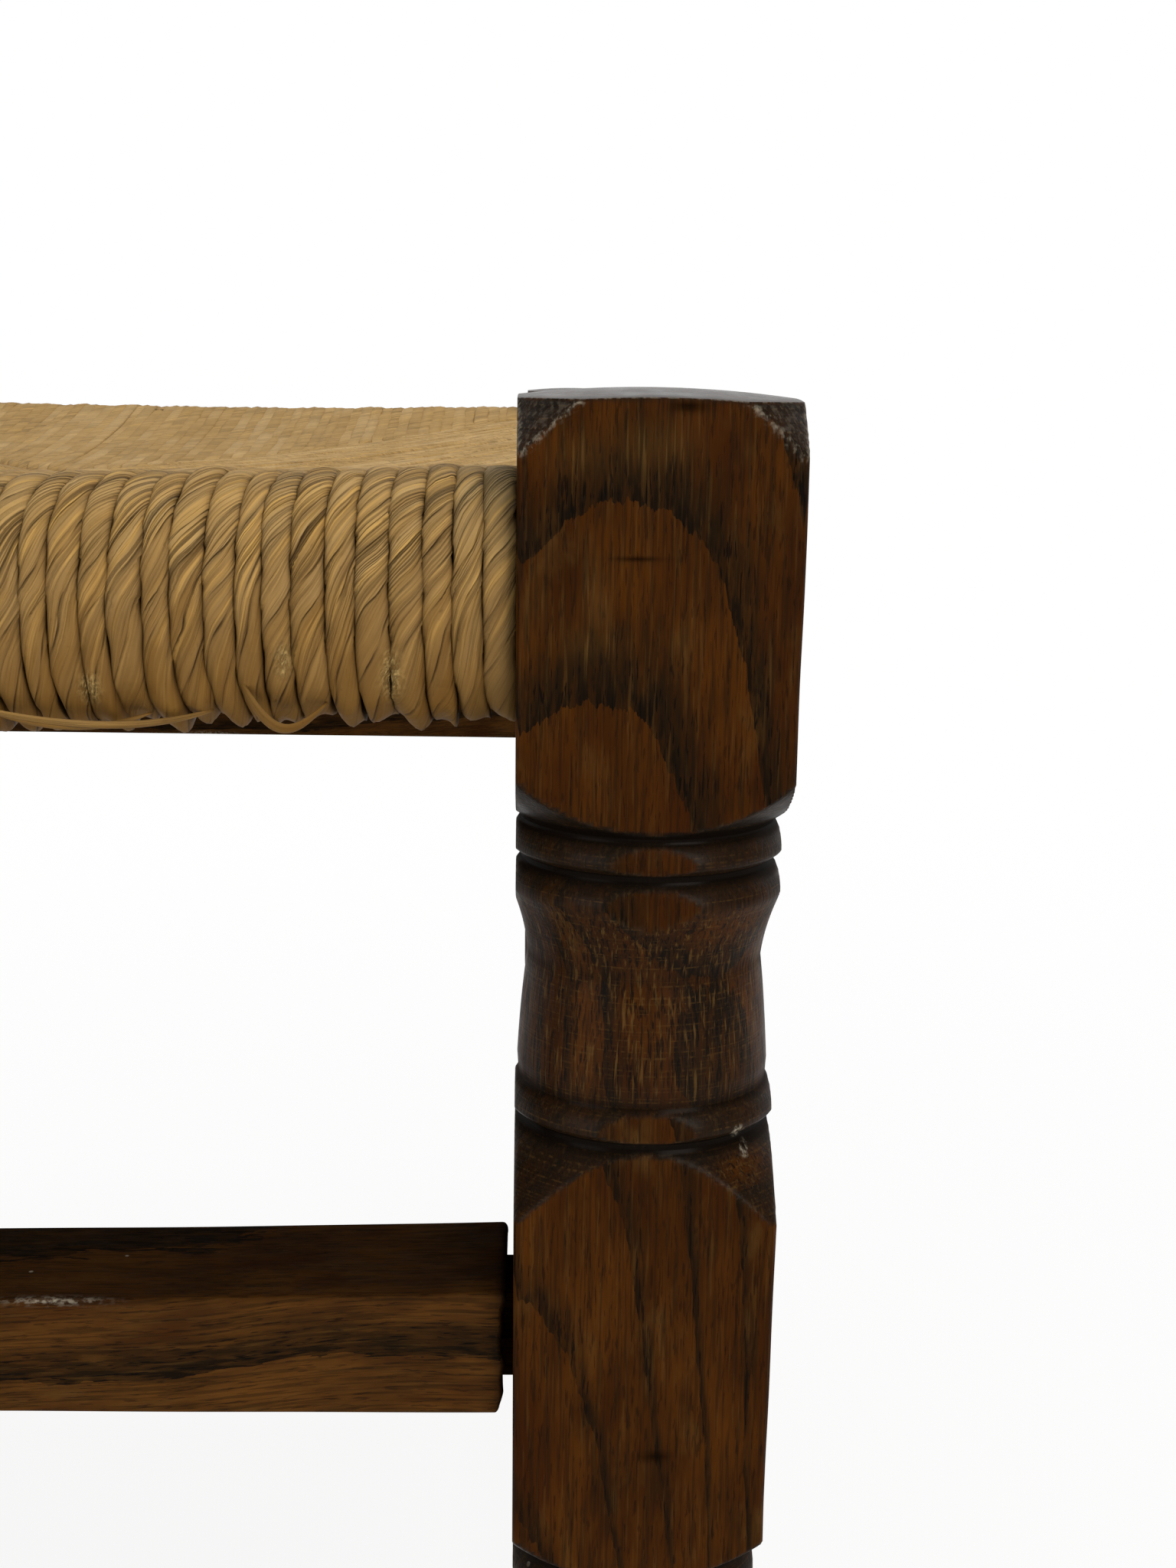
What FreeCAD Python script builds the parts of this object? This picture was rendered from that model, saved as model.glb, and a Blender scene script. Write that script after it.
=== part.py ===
import FreeCAD, Part
import math
import os

# Rush-seated joined stool.
# Four legs of square stock are turned between their blocks. Rails and stretchers are tenoned
# into the blocks. Four banks of rush wrap the seat rails and meet at mitred seams.
# Millimetres. The origin is on the floor under the middle of the seat, +Z is up, X runs along
# the short ends and Y along the long sides.

# Overall
LEG_SPACING_X = 364.0          # between leg axes along a short end
LEG_SPACING_Y = 610.0          # between leg axes along a long side
LEG_HEIGHT = 450.0             # floor to the crown of the leg's domed end
LEG_TOP_WIDTH = 41.0           # square stock at the top
LEG_FOOT_WIDTH = 35.5          # the stock narrows towards the floor

# Leg blocks, each measured down the leg
TOP_BLOCK = 61.0               # top end to the foot of its turned shoulder
MIDDLE_BLOCK = 70.0            # cone above to shoulder below
LOWER_BLOCK = 88.0
CORNER_CLEAR = 0.6             # how far the turning clears the corners of a block

# Leg turning
DOME_RISE = 2.2
END_RADIUS = 23.4              # the top's corners are turned off to this radius
END_CONE = 8.8
SHOULDER = 9.6                 # rounded shoulder under a block
SHOULDER_BULGE = 1.2
CONE = 14.4                    # plain cone that widens into a block
GROOVE = 1.0
GROOVE_RADIUS = 19.3
BEAD_RADIUS = 21.1
BEAD_RISE = 4.0                # a bead swells slowly from the groove above it
BEAD_RISE_BULGE = 0.4
BEAD_FALL = 1.4                # and turns in quickly to the groove below
BEAD_FALL_BULGE = 0.3
COLLAR = 4.0
COLLAR_RADIUS = 21.2
COLLAR_BULGE = 0.5
UPPER_COVE = 11.0
UPPER_COVE_HOLLOW = 0.5
WAIST_RADIUS = 18.0
SWELL = 16.4                   # from the waist down to the next bead
SWELL_RADIUS = 19.5
SWELL_BULGE = 0.15
SWELL_LIP = 3.0
LOWER_COVE = 22.0
LOWER_COVE_HOLLOW = 1.2
NECK_RADIUS = 16.8
BELLY = 62.0
BELLY_BULGE = 3.2
FLARE = 12.0
FLARE_HOLLOW = 0.8
FOOT_RADIUS = 13.0
FOOT_BULGE = 2.6

# Mortise and tenon joints
MORTISE_DEPTH = 14.0
TENON_CLEAR = 0.15             # glue line on each side of a tenon
TENON_END_CLEAR = 0.3
RAIL_TENON_DEPTH = 10.0
RAIL_TENON_HEIGHT = 18.0
STRETCHER_TENON_DEPTH = 14.0
STRETCHER_TENON_HEIGHT = 14.5

# Seat rails
SEAT_DROP = 11.0               # crown of the leg down to the crest of the rush
RAIL_DEPTH = 24.0
RAIL_HEIGHT = 28.4
RAIL_EDGE_RADIUS = 6.0
RAIL_SHOULDER_GAP = 0.1

# Rush
STRAND = 4.3                   # thickness of one twisted strand
RUSH_CLEAR = 0.3               # between the rush and what it wraps or lies beside
SEAM_GAP = 0.3                 # each bank's share of a seam
CREST_FLAT = 8.0               # level part of the crest over the rail
DISH_DROP = 20.0               # crest down to the middle of the seat
DISH_HOLLOW = 4.5              # how far the slope hangs below a straight line
MIDDLE_THICKNESS = 14.0        # both layers and the packing at the middle of the seat

# Stretchers
END_STRETCHER_DROP = 146.6     # crown of the leg down to the stretcher's mid height
SIDE_STRETCHER_DROP = 345.0
STRETCHER_DEPTH = 27.5
STRETCHER_HEIGHT = 20.2
STRETCHER_WEAR = 2.2           # top worn hollow by feet, at mid span
STRETCHER_EDGE_RADIUS = 1.6
STRETCHER_SHOULDER_GAP = 1.3   # the joints have opened a little

# Values that follow from the sizes above
LEG_X = LEG_SPACING_X / 2
LEG_Y = LEG_SPACING_Y / 2
CREST_Z = LEG_HEIGHT - SEAT_DROP
RAIL_TOP_Z = CREST_Z - STRAND - RUSH_CLEAR
RAIL_Z = RAIL_TOP_Z - RAIL_HEIGHT / 2
RUSH_BOTTOM_Z = RAIL_TOP_Z - RAIL_HEIGHT - STRAND - RUSH_CLEAR
RUSH_FRONT = RAIL_DEPTH / 2 + RUSH_CLEAR + STRAND
END_STRETCHER_Z = LEG_HEIGHT - END_STRETCHER_DROP
SIDE_STRETCHER_Z = LEG_HEIGHT - SIDE_STRETCHER_DROP
UP = FreeCAD.Vector(0, 0, 1)
ORIGIN = FreeCAD.Vector(0, 0, 0)


def leg_half(z):
    """Half the width of the square stock at a height."""
    share = z / LEG_HEIGHT
    return (LEG_FOOT_WIDTH + (LEG_TOP_WIDTH - LEG_FOOT_WIDTH) * share) / 2


def edge(start, end, bulge):
    """A line, or an arc whose middle stands out by bulge along X, between two XZ points."""
    a = FreeCAD.Vector(start[0], 0, start[1])
    b = FreeCAD.Vector(end[0], 0, end[1])
    if bulge == 0:
        return Part.LineSegment(a, b).toShape()
    middle = (a + b) / 2 + FreeCAD.Vector(bulge, 0, 0)
    return Part.Arc(a, middle, b).toShape()


def bead():
    """A bead and the groove below it, as turning steps."""
    rise = (BEAD_RISE, BEAD_RADIUS, BEAD_RISE_BULGE)
    fall = (BEAD_FALL, GROOVE_RADIUS, BEAD_FALL_BULGE)
    return [rise, fall, (GROOVE, GROOVE_RADIUS, 0)]


def turning_steps():
    """Steps down the leg from its end: drop, radius reached and bulge on the way."""
    corner = LEG_TOP_WIDTH / math.sqrt(2) + CORNER_CLEAR
    shoulder = (SHOULDER, leg_half(LEG_HEIGHT - TOP_BLOCK), SHOULDER_BULGE)
    groove = (GROOVE, GROOVE_RADIUS, 0)
    collar = (COLLAR, COLLAR_RADIUS, COLLAR_BULGE)
    cone = (CONE, corner, 0)
    steps = [(END_CONE, corner, 0), (TOP_BLOCK - END_CONE - SHOULDER, corner, 0), shoulder, groove]
    steps += bead() + [collar, (UPPER_COVE, WAIST_RADIUS, -UPPER_COVE_HOLLOW)]
    steps += [(SWELL, SWELL_RADIUS, SWELL_BULGE), (SWELL_LIP, GROOVE_RADIUS, 0)]
    steps += bead() + [cone, (MIDDLE_BLOCK - CONE - SHOULDER, corner, 0), shoulder, groove]
    steps += bead() + [collar, (LOWER_COVE, NECK_RADIUS, -LOWER_COVE_HOLLOW)]
    steps += [(BELLY, NECK_RADIUS, BELLY_BULGE), (FLARE, GROOVE_RADIUS, -FLARE_HOLLOW)]
    steps += bead() + [cone, (LOWER_BLOCK - CONE - SHOULDER, corner, 0), shoulder, groove]
    return steps + bead()


def turned_blank():
    """The leg as the lathe leaves it, before the flats: a revolved profile with a domed end."""
    dome_radius = (END_RADIUS ** 2 + DOME_RISE ** 2) / (2 * DOME_RISE)
    half = END_RADIUS / 2
    half_rise = dome_radius - math.sqrt(dome_radius ** 2 - half ** 2)
    crown = FreeCAD.Vector(0, 0, LEG_HEIGHT)
    middle = FreeCAD.Vector(half, 0, LEG_HEIGHT - half_rise)
    rim = FreeCAD.Vector(END_RADIUS, 0, LEG_HEIGHT - DOME_RISE)
    edges = [Part.Arc(crown, middle, rim).toShape()]
    here = (rim.x, rim.z)
    for drop, radius, bulge in turning_steps():
        there = (radius, here[1] - drop)
        edges.append(edge(here, there, bulge))
        here = there
    edges.append(edge(here, (FOOT_RADIUS, 0), FOOT_BULGE))
    edges.append(edge((FOOT_RADIUS, 0), (0, 0), 0))
    edges.append(edge((0, 0), (0, LEG_HEIGHT), 0))
    return Part.Face(Part.Wire(edges)).revolve(ORIGIN, UP, 360)


def square_stock():
    """The tapering square stock of a leg, standing on the floor."""
    foot = LEG_FOOT_WIDTH / 2
    top = LEG_TOP_WIDTH / 2
    stock = Part.makeWedge(-foot, 0, -foot, -top, -top, foot, LEG_HEIGHT, foot, top, top)
    stock.rotate(ORIGIN, FreeCAD.Vector(1, 0, 0), 90)
    return stock


def mortise(z, depth, height, angle):
    """The hole for a tenon, entering the leg from the face at this angle about its axis."""
    face = leg_half(z)
    length = MORTISE_DEPTH + LEG_TOP_WIDTH
    wide = depth + 2 * TENON_CLEAR
    tall = height + 2 * TENON_CLEAR
    hole = Part.makeBox(length, wide, tall, FreeCAD.Vector(face - MORTISE_DEPTH, -wide / 2, z - tall / 2))
    hole.rotate(ORIGIN, UP, angle)
    return hole


def make_leg(blank, side_x, side_y):
    """One leg: the turned blank cut to the square stock, with its four mortises."""
    inward_x = 180 if side_x > 0 else 0
    inward_y = -90 if side_y > 0 else 90
    holes = [
        mortise(RAIL_Z, RAIL_TENON_DEPTH, RAIL_TENON_HEIGHT, inward_x),
        mortise(RAIL_Z, RAIL_TENON_DEPTH, RAIL_TENON_HEIGHT, inward_y),
        mortise(END_STRETCHER_Z, STRETCHER_TENON_DEPTH, STRETCHER_TENON_HEIGHT, inward_x),
        mortise(SIDE_STRETCHER_Z, STRETCHER_TENON_DEPTH, STRETCHER_TENON_HEIGHT, inward_y),
    ]
    leg = blank.cut(holes)
    leg.translate(FreeCAD.Vector(side_x * LEG_X, side_y * LEG_Y, 0))
    return leg


def make_bar(spacing, z, gap, depth, height, wear, edge_radius, tenon_depth, tenon_height):
    """A rail or stretcher along X between two legs, centred on the origin in plan.

    Its top is hollowed by wear at mid span, its long edges are rounded, and a tenon stands
    out of each shoulder.
    """
    end = spacing / 2 - leg_half(z) - gap
    low = z - height / 2
    high = z + height / 2
    corners = [(-end, low), (end, low), (end, high), (-end, high)]
    edges = [edge(corners[0], corners[1], 0), edge(corners[1], corners[2], 0)]
    if wear > 0:
        right = FreeCAD.Vector(end, 0, high)
        left = FreeCAD.Vector(-end, 0, high)
        edges.append(Part.Arc(right, FreeCAD.Vector(0, 0, high - wear), left).toShape())
    else:
        edges.append(edge(corners[2], corners[3], 0))
    edges.append(edge(corners[3], corners[0], 0))
    body = Part.Face(Part.Wire(edges)).extrude(FreeCAD.Vector(0, depth, 0))
    body.translate(FreeCAD.Vector(0, -depth / 2, 0))
    body = body.makeFillet(edge_radius, [e for e in body.Edges if e.BoundBox.XLength > end])
    reach = gap + MORTISE_DEPTH - TENON_END_CLEAR
    low_corner = FreeCAD.Vector(-end - reach, -tenon_depth / 2, z - tenon_height / 2)
    tenons = Part.makeBox(2 * (end + reach), tenon_depth, tenon_height, low_corner)
    return body.fuse(tenons).removeSplitter()


def rush_section(middle):
    """Section of a bank in the YZ plane, as a face: Y runs inwards from the rail's middle.

    The outer edge is round over and under the rail, the top slopes down to the seat's middle
    as a shallow hollow, and the underside is straight.
    """
    radius = RAIL_EDGE_RADIUS + RUSH_CLEAR + STRAND
    bend = radius * (1 - math.sqrt(0.5))
    front = -RUSH_FRONT
    top_start = FreeCAD.Vector(0, front, CREST_Z - radius)
    top_bend = FreeCAD.Vector(0, front + bend, CREST_Z - bend)
    top_end = FreeCAD.Vector(0, front + radius, CREST_Z)
    slope_start = top_end + FreeCAD.Vector(0, CREST_FLAT, 0)
    slope_end = FreeCAD.Vector(0, middle, CREST_Z - DISH_DROP)
    slope_middle = (slope_start + slope_end) / 2 - FreeCAD.Vector(0, 0, DISH_HOLLOW)
    under_end = slope_end - FreeCAD.Vector(0, 0, MIDDLE_THICKNESS)
    low_end = FreeCAD.Vector(0, front + radius, RUSH_BOTTOM_Z)
    low_bend = FreeCAD.Vector(0, front + bend, RUSH_BOTTOM_Z + bend)
    low_start = FreeCAD.Vector(0, front, RUSH_BOTTOM_Z + radius)
    edges = [
        Part.LineSegment(low_start, top_start).toShape(),
        Part.Arc(top_start, top_bend, top_end).toShape(),
        Part.LineSegment(top_end, slope_start).toShape(),
        Part.Arc(slope_start, slope_middle, slope_end).toShape(),
        Part.LineSegment(slope_end, under_end).toShape(),
        Part.LineSegment(under_end, low_end).toShape(),
        Part.Arc(low_end, low_bend, low_start).toShape(),
    ]
    return Part.Face(Part.Wire(edges))


def mitred(section, half_length, inset, start):
    """A section carried along X and trimmed in plan to the shape of one bank.

    The plan is straight beside the legs and then follows the seat's diagonals to its middle.
    """
    post = leg_half(RAIL_Z)
    reach = LEG_X - post
    side = half_length - post - inset
    inner = max(half_length - post - reach, 0)
    plan = [
        (-side, start),
        (side, start),
        (side, max(post, start)),
        (inner, LEG_X - inset),
        (-inner, LEG_X - inset),
        (-side, max(post, start)),
    ]
    if inner == 0:
        plan.pop(4)
    points = [FreeCAD.Vector(x, y, 0) for x, y in plan]
    prism = Part.Face(Part.makePolygon(points + points[:1])).extrude(UP * LEG_HEIGHT)
    run = section.extrude(FreeCAD.Vector(2 * half_length, 0, 0))
    run.translate(FreeCAD.Vector(-half_length, 0, 0))
    return run.common(prism)


def make_rush(half_length):
    """A bank of rush and the stuffing inside it, for the rail along X at Y = 0."""
    section = rush_section(LEG_X)
    hollow = section.makeOffset2D(-STRAND, join=2)
    packing = section.makeOffset2D(-STRAND - RUSH_CLEAR, join=2)
    behind_rail = RAIL_DEPTH / 2 + RUSH_CLEAR
    solid = mitred(section, half_length, SEAM_GAP, -2 * RUSH_FRONT)
    pocket = mitred(hollow, half_length, STRAND, behind_rail)
    channel = Part.makeBox(
        2 * half_length,
        2 * behind_rail,
        RAIL_HEIGHT + 2 * RUSH_CLEAR,
        FreeCAD.Vector(-half_length, -behind_rail, RAIL_TOP_Z - RAIL_HEIGHT - RUSH_CLEAR),
    )
    channel = channel.makeFillet(
        RAIL_EDGE_RADIUS + RUSH_CLEAR,
        [e for e in channel.Edges if e.BoundBox.XLength > half_length and e.CenterOfMass.y < 0],
    )
    bank = solid.cut([channel, pocket])
    stuffing = mitred(packing, half_length, STRAND + RUSH_CLEAR, behind_rail + RUSH_CLEAR)
    return bank, stuffing


def place(shape, angle, x, y):
    """A copy of a shape turned about the stool's upright axis and moved in plan."""
    copy = shape.copy()
    copy.rotate(ORIGIN, UP, angle)
    copy.translate(FreeCAD.Vector(x, y, 0))
    return copy


def build():
    """All the pieces of the stool, by name."""
    pieces = {}
    blank = turned_blank().common(square_stock())
    for name_y, side_y in (("front", -1), ("back", 1)):
        for name_x, side_x in (("left", -1), ("right", 1)):
            pieces[f"leg_{name_y}_{name_x}"] = make_leg(blank, side_x, side_y)
    rail = (RAIL_SHOULDER_GAP, RAIL_DEPTH, RAIL_HEIGHT, 0, RAIL_EDGE_RADIUS, RAIL_TENON_DEPTH,
            RAIL_TENON_HEIGHT)
    stretcher = (STRETCHER_SHOULDER_GAP, STRETCHER_DEPTH, STRETCHER_HEIGHT, STRETCHER_WEAR,
                 STRETCHER_EDGE_RADIUS, STRETCHER_TENON_DEPTH, STRETCHER_TENON_HEIGHT)
    end_rail = make_bar(LEG_SPACING_X, RAIL_Z, *rail)
    side_rail = make_bar(LEG_SPACING_Y, RAIL_Z, *rail)
    end_stretcher = make_bar(LEG_SPACING_X, END_STRETCHER_Z, *stretcher)
    side_stretcher = make_bar(LEG_SPACING_Y, SIDE_STRETCHER_Z, *stretcher)
    end_rush, end_stuffing = make_rush(LEG_X)
    side_rush, side_stuffing = make_rush(LEG_Y)
    ends = {"seat_rail": end_rail, "end_stretcher": end_stretcher, "rush": end_rush, "stuffing": end_stuffing}
    sides = {"seat_rail": side_rail, "side_stretcher": side_stretcher, "rush": side_rush,
             "stuffing": side_stuffing}
    for name, shape in ends.items():
        pieces[f"{name}_front"] = place(shape, 0, 0, -LEG_Y)
        pieces[f"{name}_back"] = place(shape, 180, 0, LEG_Y)
    for name, shape in sides.items():
        pieces[f"{name}_left"] = place(shape, -90, -LEG_X, 0)
        pieces[f"{name}_right"] = place(shape, 90, LEG_X, 0)
    return pieces


os.makedirs("parts", exist_ok=True)
for node, piece in build().items():
    piece.exportStep(f"parts/{node}.step")
    print(node, len(piece.Solids), piece.isValid(), round(piece.Volume / 1000, 2), "cm3")
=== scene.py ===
"""Looks of a rush-seated stool: stained turned legs, worn stretchers and a twisted rush seat.

Lengths are in millimetres until a mesh is made, and the frame's own boxes give the places.
"""
import logging
import math
from dataclasses import dataclass
from enum import Enum
from functools import partial
from typing import Any, Mapping, Optional, Sequence, Union

import bpy
import numpy as np
from mathutils import Matrix, Vector


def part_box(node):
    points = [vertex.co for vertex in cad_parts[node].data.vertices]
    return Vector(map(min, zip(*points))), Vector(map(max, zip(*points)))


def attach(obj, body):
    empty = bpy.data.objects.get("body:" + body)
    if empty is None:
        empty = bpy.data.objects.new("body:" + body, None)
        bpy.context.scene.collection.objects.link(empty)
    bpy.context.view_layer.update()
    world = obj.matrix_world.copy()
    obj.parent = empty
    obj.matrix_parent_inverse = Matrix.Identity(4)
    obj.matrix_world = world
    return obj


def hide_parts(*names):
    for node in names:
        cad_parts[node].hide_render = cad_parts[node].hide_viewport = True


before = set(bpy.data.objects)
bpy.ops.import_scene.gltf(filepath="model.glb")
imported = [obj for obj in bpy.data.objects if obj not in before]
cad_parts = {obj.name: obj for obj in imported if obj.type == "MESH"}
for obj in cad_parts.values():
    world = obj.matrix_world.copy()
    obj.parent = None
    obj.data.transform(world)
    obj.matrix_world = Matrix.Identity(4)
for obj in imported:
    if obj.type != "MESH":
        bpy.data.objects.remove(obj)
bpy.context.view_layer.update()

Colour = tuple[float, float, float, float]
Triple = tuple[float, float, float]
Pair = tuple[float, float]
Socket = bpy.types.NodeSocket
Tree = bpy.types.NodeTree

LOG = logging.getLogger("stool")
MM = 0.001  # metres in a millimetre
PER_MM = (1.0 / MM,) * 3  # turns an object's own places into millimetres
PHOTO_HEIGHT = 2048
BODY = "root"
WHITE = "#FFFFFF"
MIX_UNDER, MIX_OVER, MIX_RESULT = 6, 7, 2  # colour sockets of a mix node
WOOD_LOOKS = ("turned", "stain", "wear", "grime", "polish", "pale")
RUSH_LOOKS = ("tint", "grey", "fold", "bleach_and_light", "rag", "side", "seat_paling_and_light")
RIPPLE_SHARES = np.array([1.0, 0.62, 0.37])  # wavelengths of a ripple's three sines
RIPPLE_HEIGHT = 1.9  # which their sum seldom passes
GRAIN_APART = 20.0  # spreads the pieces over the wood's patterns


class Detail(Enum):
    """How finely a piece is cut: the corner nearest the camera is close, the rest is far."""

    CLOSE = "close"
    FAR = "far"


LEG_AROUND = {Detail.CLOSE: 208, Detail.FAR: 112}  # points round a leg
LEG_ROWS = {Detail.CLOSE: (1.4, 0.7), Detail.FAR: (6.0, 1.6)}  # spacing, where plain and shaped
BAR_CUTS = {Detail.CLOSE: (14, 6, 241), Detail.FAR: (6, 3, 41)}  # points on side and corner, rings


class Kind(Enum):
    """The shader nodes that the finishes use, each with the settings that it always has."""

    ATTRIBUTE = "ShaderNodeAttribute", {}
    UV = "ShaderNodeUVMap", {}
    PLACE = "ShaderNodeTexCoord", {}
    PATH = "ShaderNodeLightPath", {}
    SPLIT = "ShaderNodeSeparateXYZ", {}
    JOIN = "ShaderNodeCombineXYZ", {}
    TIMES = "ShaderNodeMath", {"operation": "MULTIPLY"}
    TIMES_PLUS = "ShaderNodeMath", {"operation": "MULTIPLY_ADD"}
    POWER = "ShaderNodeMath", {"operation": "POWER"}
    GREATER = "ShaderNodeMath", {"operation": "MAXIMUM"}
    WHOLE = "ShaderNodeMath", {"operation": "FLOOR"}
    PART = "ShaderNodeMath", {"operation": "FRACT"}
    STRETCH = "ShaderNodeVectorMath", {"operation": "MULTIPLY"}
    LENGTH = "ShaderNodeVectorMath", {"operation": "LENGTH"}
    NOISE = "ShaderNodeTexNoise", {}
    NOISE_LINE = "ShaderNodeTexNoise", {"noise_dimensions": "1D"}
    CHANCE = "ShaderNodeTexWhiteNoise", {"noise_dimensions": "3D"}
    CELLS = "ShaderNodeTexVoronoi", {}
    RAMP = "ShaderNodeMapRange", {}
    EASE = "ShaderNodeMapRange", {"interpolation_type": "SMOOTHSTEP"}
    MIX = "ShaderNodeMix", {"data_type": "RGBA"}
    BUMP = "ShaderNodeBump", {}
    PRINCIPLED = "ShaderNodeBsdfPrincipled", {}
    DIFFUSE = "ShaderNodeBsdfDiffuse", {}
    GLOW = "ShaderNodeEmission", {}
    SKY = "ShaderNodeBackground", {}
    BLEND = "ShaderNodeMixShader", {}
    SURFACE = "ShaderNodeOutputMaterial", {}
    WORLD = "ShaderNodeOutputWorld", {}


class MarkKind(Enum):
    """What has happened to a spot on the wood."""

    SMUDGE = "smudge"
    CHIP = "chip"
    BARE = "bare"
    PALE = "pale"


def linear(hex_colour: str) -> Colour:
    """Turn an sRGB hex colour into linear light.

    Args:
        hex_colour: Six hex digits after a hash sign.

    Returns:
        Linear red, green, blue and an alpha of one.
    """
    parts = np.array([int(hex_colour[i:i + 2], 16) for i in (1, 3, 5)]) / 255.0
    light = np.where(parts <= 0.04045, parts / 12.92, ((parts + 0.055) / 1.055) ** 2.4)
    return (float(light[0]), float(light[1]), float(light[2]), 1.0)


def add(
    tree: Tree,
    kind: Kind,
    inputs: Union[Mapping[Any, Any], Sequence[Any]] = (),
    out: Any = 0,
    **settings: Any,
) -> Optional[Socket]:
    """Add a node with its settings, its values and its links.

    Args:
        tree: The node tree that takes the node.
        kind: Which node.
        inputs: Values or output sockets, in the order of the node's inputs or by their names.
        out: Name or number of the output that is wanted.
        **settings: Properties of the node itself, beside those of its kind.

    Returns:
        The wanted output socket, or none on a node that has no outputs.
    """
    label, always = kind.value
    node = tree.nodes.new(label)
    for name, value in (always | settings).items():
        setattr(node, name, value)
    for key, value in inputs.items() if isinstance(inputs, Mapping) else enumerate(inputs):
        if isinstance(value, Socket):
            tree.links.new(value, node.inputs[key])
        else:
            node.inputs[key].default_value = value
    return node.outputs[out] if node.outputs else None


def box_of(node: str) -> tuple[np.ndarray, np.ndarray]:
    """Give the low and the high corner of a solid's box, in millimetres."""
    low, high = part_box(node)
    return np.array(low) / MM, np.array(high) / MM


def seeded(name: str, more: int = 0) -> np.random.Generator:
    """A source of chance that is always the same for a name."""
    return np.random.default_rng(more + sum(map(ord, name)))


def smoothstep(low: float, high: float, value: np.ndarray) -> np.ndarray:
    """Ease from 0 at low to 1 at high, by 3q squared less 2q cubed of the share q between them."""
    q = np.clip((value - low) / (high - low), 0.0, 1.0)
    return q * q * (3.0 - 2.0 * q)


def smooth_min(a: np.ndarray, b: np.ndarray, blend: float) -> np.ndarray:
    """The lesser of two arrays, with the corner where they cross rounded over the blend width."""
    q = np.clip(0.5 + 0.5 * (b - a) / blend, 0.0, 1.0)
    return b + (a - b) * q - blend * q * (1.0 - q)


def bell(value: np.ndarray, middle: float, width: float) -> np.ndarray:
    """A hump of height one: exp(-(distance from the middle / width) squared)."""
    return np.exp(-(((value - middle) / width) ** 2))


def squared_off(wave: np.ndarray, power: Any) -> np.ndarray:
    """A wave's size to a power, with its own sign: under one, it squares a round section."""
    return np.sign(wave) * np.abs(wave) ** power


def unit(vectors: np.ndarray) -> np.ndarray:
    """Vectors in the same directions, one long."""
    return vectors / np.linalg.norm(vectors, axis=-1, keepdims=True)


def running_sum(steps: np.ndarray) -> np.ndarray:
    """The running sum along the last axis, with a nought before it."""
    return np.cumsum(np.insert(steps, 0, 0.0, axis=-1), -1)


def waves(along: np.ndarray, lengths: Sequence[float], phases: Sequence[float]) -> np.ndarray:
    """Add up sines along an array, by the length that each takes for a radian, and its phase."""
    return sum(np.sin(along / length + phase) for length, phase in zip(lengths, phases))


def blurred(places: np.ndarray, values: np.ndarray, reach: float, samples: int) -> np.ndarray:
    """The mean of a curve's values over a stretch that reaches both ways from each place."""
    around = np.add.outer(places, np.linspace(-reach, reach, samples))
    return np.interp(around, places, values).mean(1)


def round_axis(reach: np.ndarray, angle: np.ndarray, z: np.ndarray) -> np.ndarray:
    """Points at these distances from an upright axis, angles round it and heights."""
    return np.stack(np.broadcast_arrays(reach * np.cos(angle), reach * np.sin(angle), z), -1)


def ripple(along: np.ndarray, rng: np.random.Generator, size: float, wavelength: float) -> np.ndarray:
    """A smooth random wander along each row of an array.

    It is the sum of three sines over the height that they seldom pass, times the size. Their
    phases are drawn once for each row.

    Args:
        along: Distances, one row per strand.
        rng: Source of the phases.
        size: How far it wanders to either side.
        wavelength: The longest wave, in the units of along.

    Returns:
        The wander, in the shape of along.
    """
    phases = rng.uniform(0.0, math.tau, (along.shape[0], 1, 3))
    turns = math.tau / (wavelength * RIPPLE_SHARES)
    return size * (np.sin(along[..., None] * turns + phases).sum(-1) / RIPPLE_HEIGHT)


def arc_offset(share: np.ndarray, chord: float, bulge: float) -> np.ndarray:
    """How far a circular arc stands off its chord.

    The circle's radius is (half chord squared + bulge squared) / (2 bulge).

    Args:
        share: Places along the chord, from 0 to 1.
        chord: The chord's length.
        bulge: The offset at its middle, below nought for a hollow.

    Returns:
        The offset at each place.
    """
    if bulge == 0:
        return np.zeros_like(share)
    radius = ((chord / 2) ** 2 + bulge ** 2) / (2 * abs(bulge))
    rise = np.sqrt(radius ** 2 - ((share - 0.5) * chord) ** 2) - (radius - abs(bulge))
    return math.copysign(1.0, bulge) * rise


def rounded_rectangle(width: float, height: float, radius: float, flat: int, corner: int) -> np.ndarray:
    """Outline of a rectangle with round corners, anticlockwise from its right side.

    Each side has points that crowd towards its ends as a cosine does, so that the flats shade
    flat, and each corner is a quarter circle.

    Args:
        width: Across the first axis.
        height: Across the second axis.
        radius: Of the corners.
        flat: Points on each side.
        corner: Points on each corner.

    Returns:
        Points as rows of two.
    """
    half = np.array([width / 2, height / 2])
    share = 0.5 - 0.5 * np.cos(np.pi * np.arange(flat) / flat)
    turn = np.linspace(0.0, np.pi / 2, corner, endpoint=False)
    pieces = []
    for out in np.array([[1, 0], [0, 1], [-1, 0], [0, -1]]):
        side = np.array([-out[1], out[0]])
        reach = abs(out @ half)
        run = abs(side @ half) - radius
        pieces.append(out * reach + np.outer(2 * share - 1, side) * run)
        centre = out * (reach - radius) + side * run
        pieces.append(centre + radius * (np.outer(np.cos(turn), out) + np.outer(np.sin(turn), side)))
    return np.concatenate(pieces)


def wood_looks(shape: Sequence[int], **given: Any) -> np.ndarray:
    """Stack the wood's looks in their usual order, with nought for those not given."""
    return np.stack([np.broadcast_to(given.get(label, 0.0), shape) for label in WOOD_LOOKS], -1)


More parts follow.
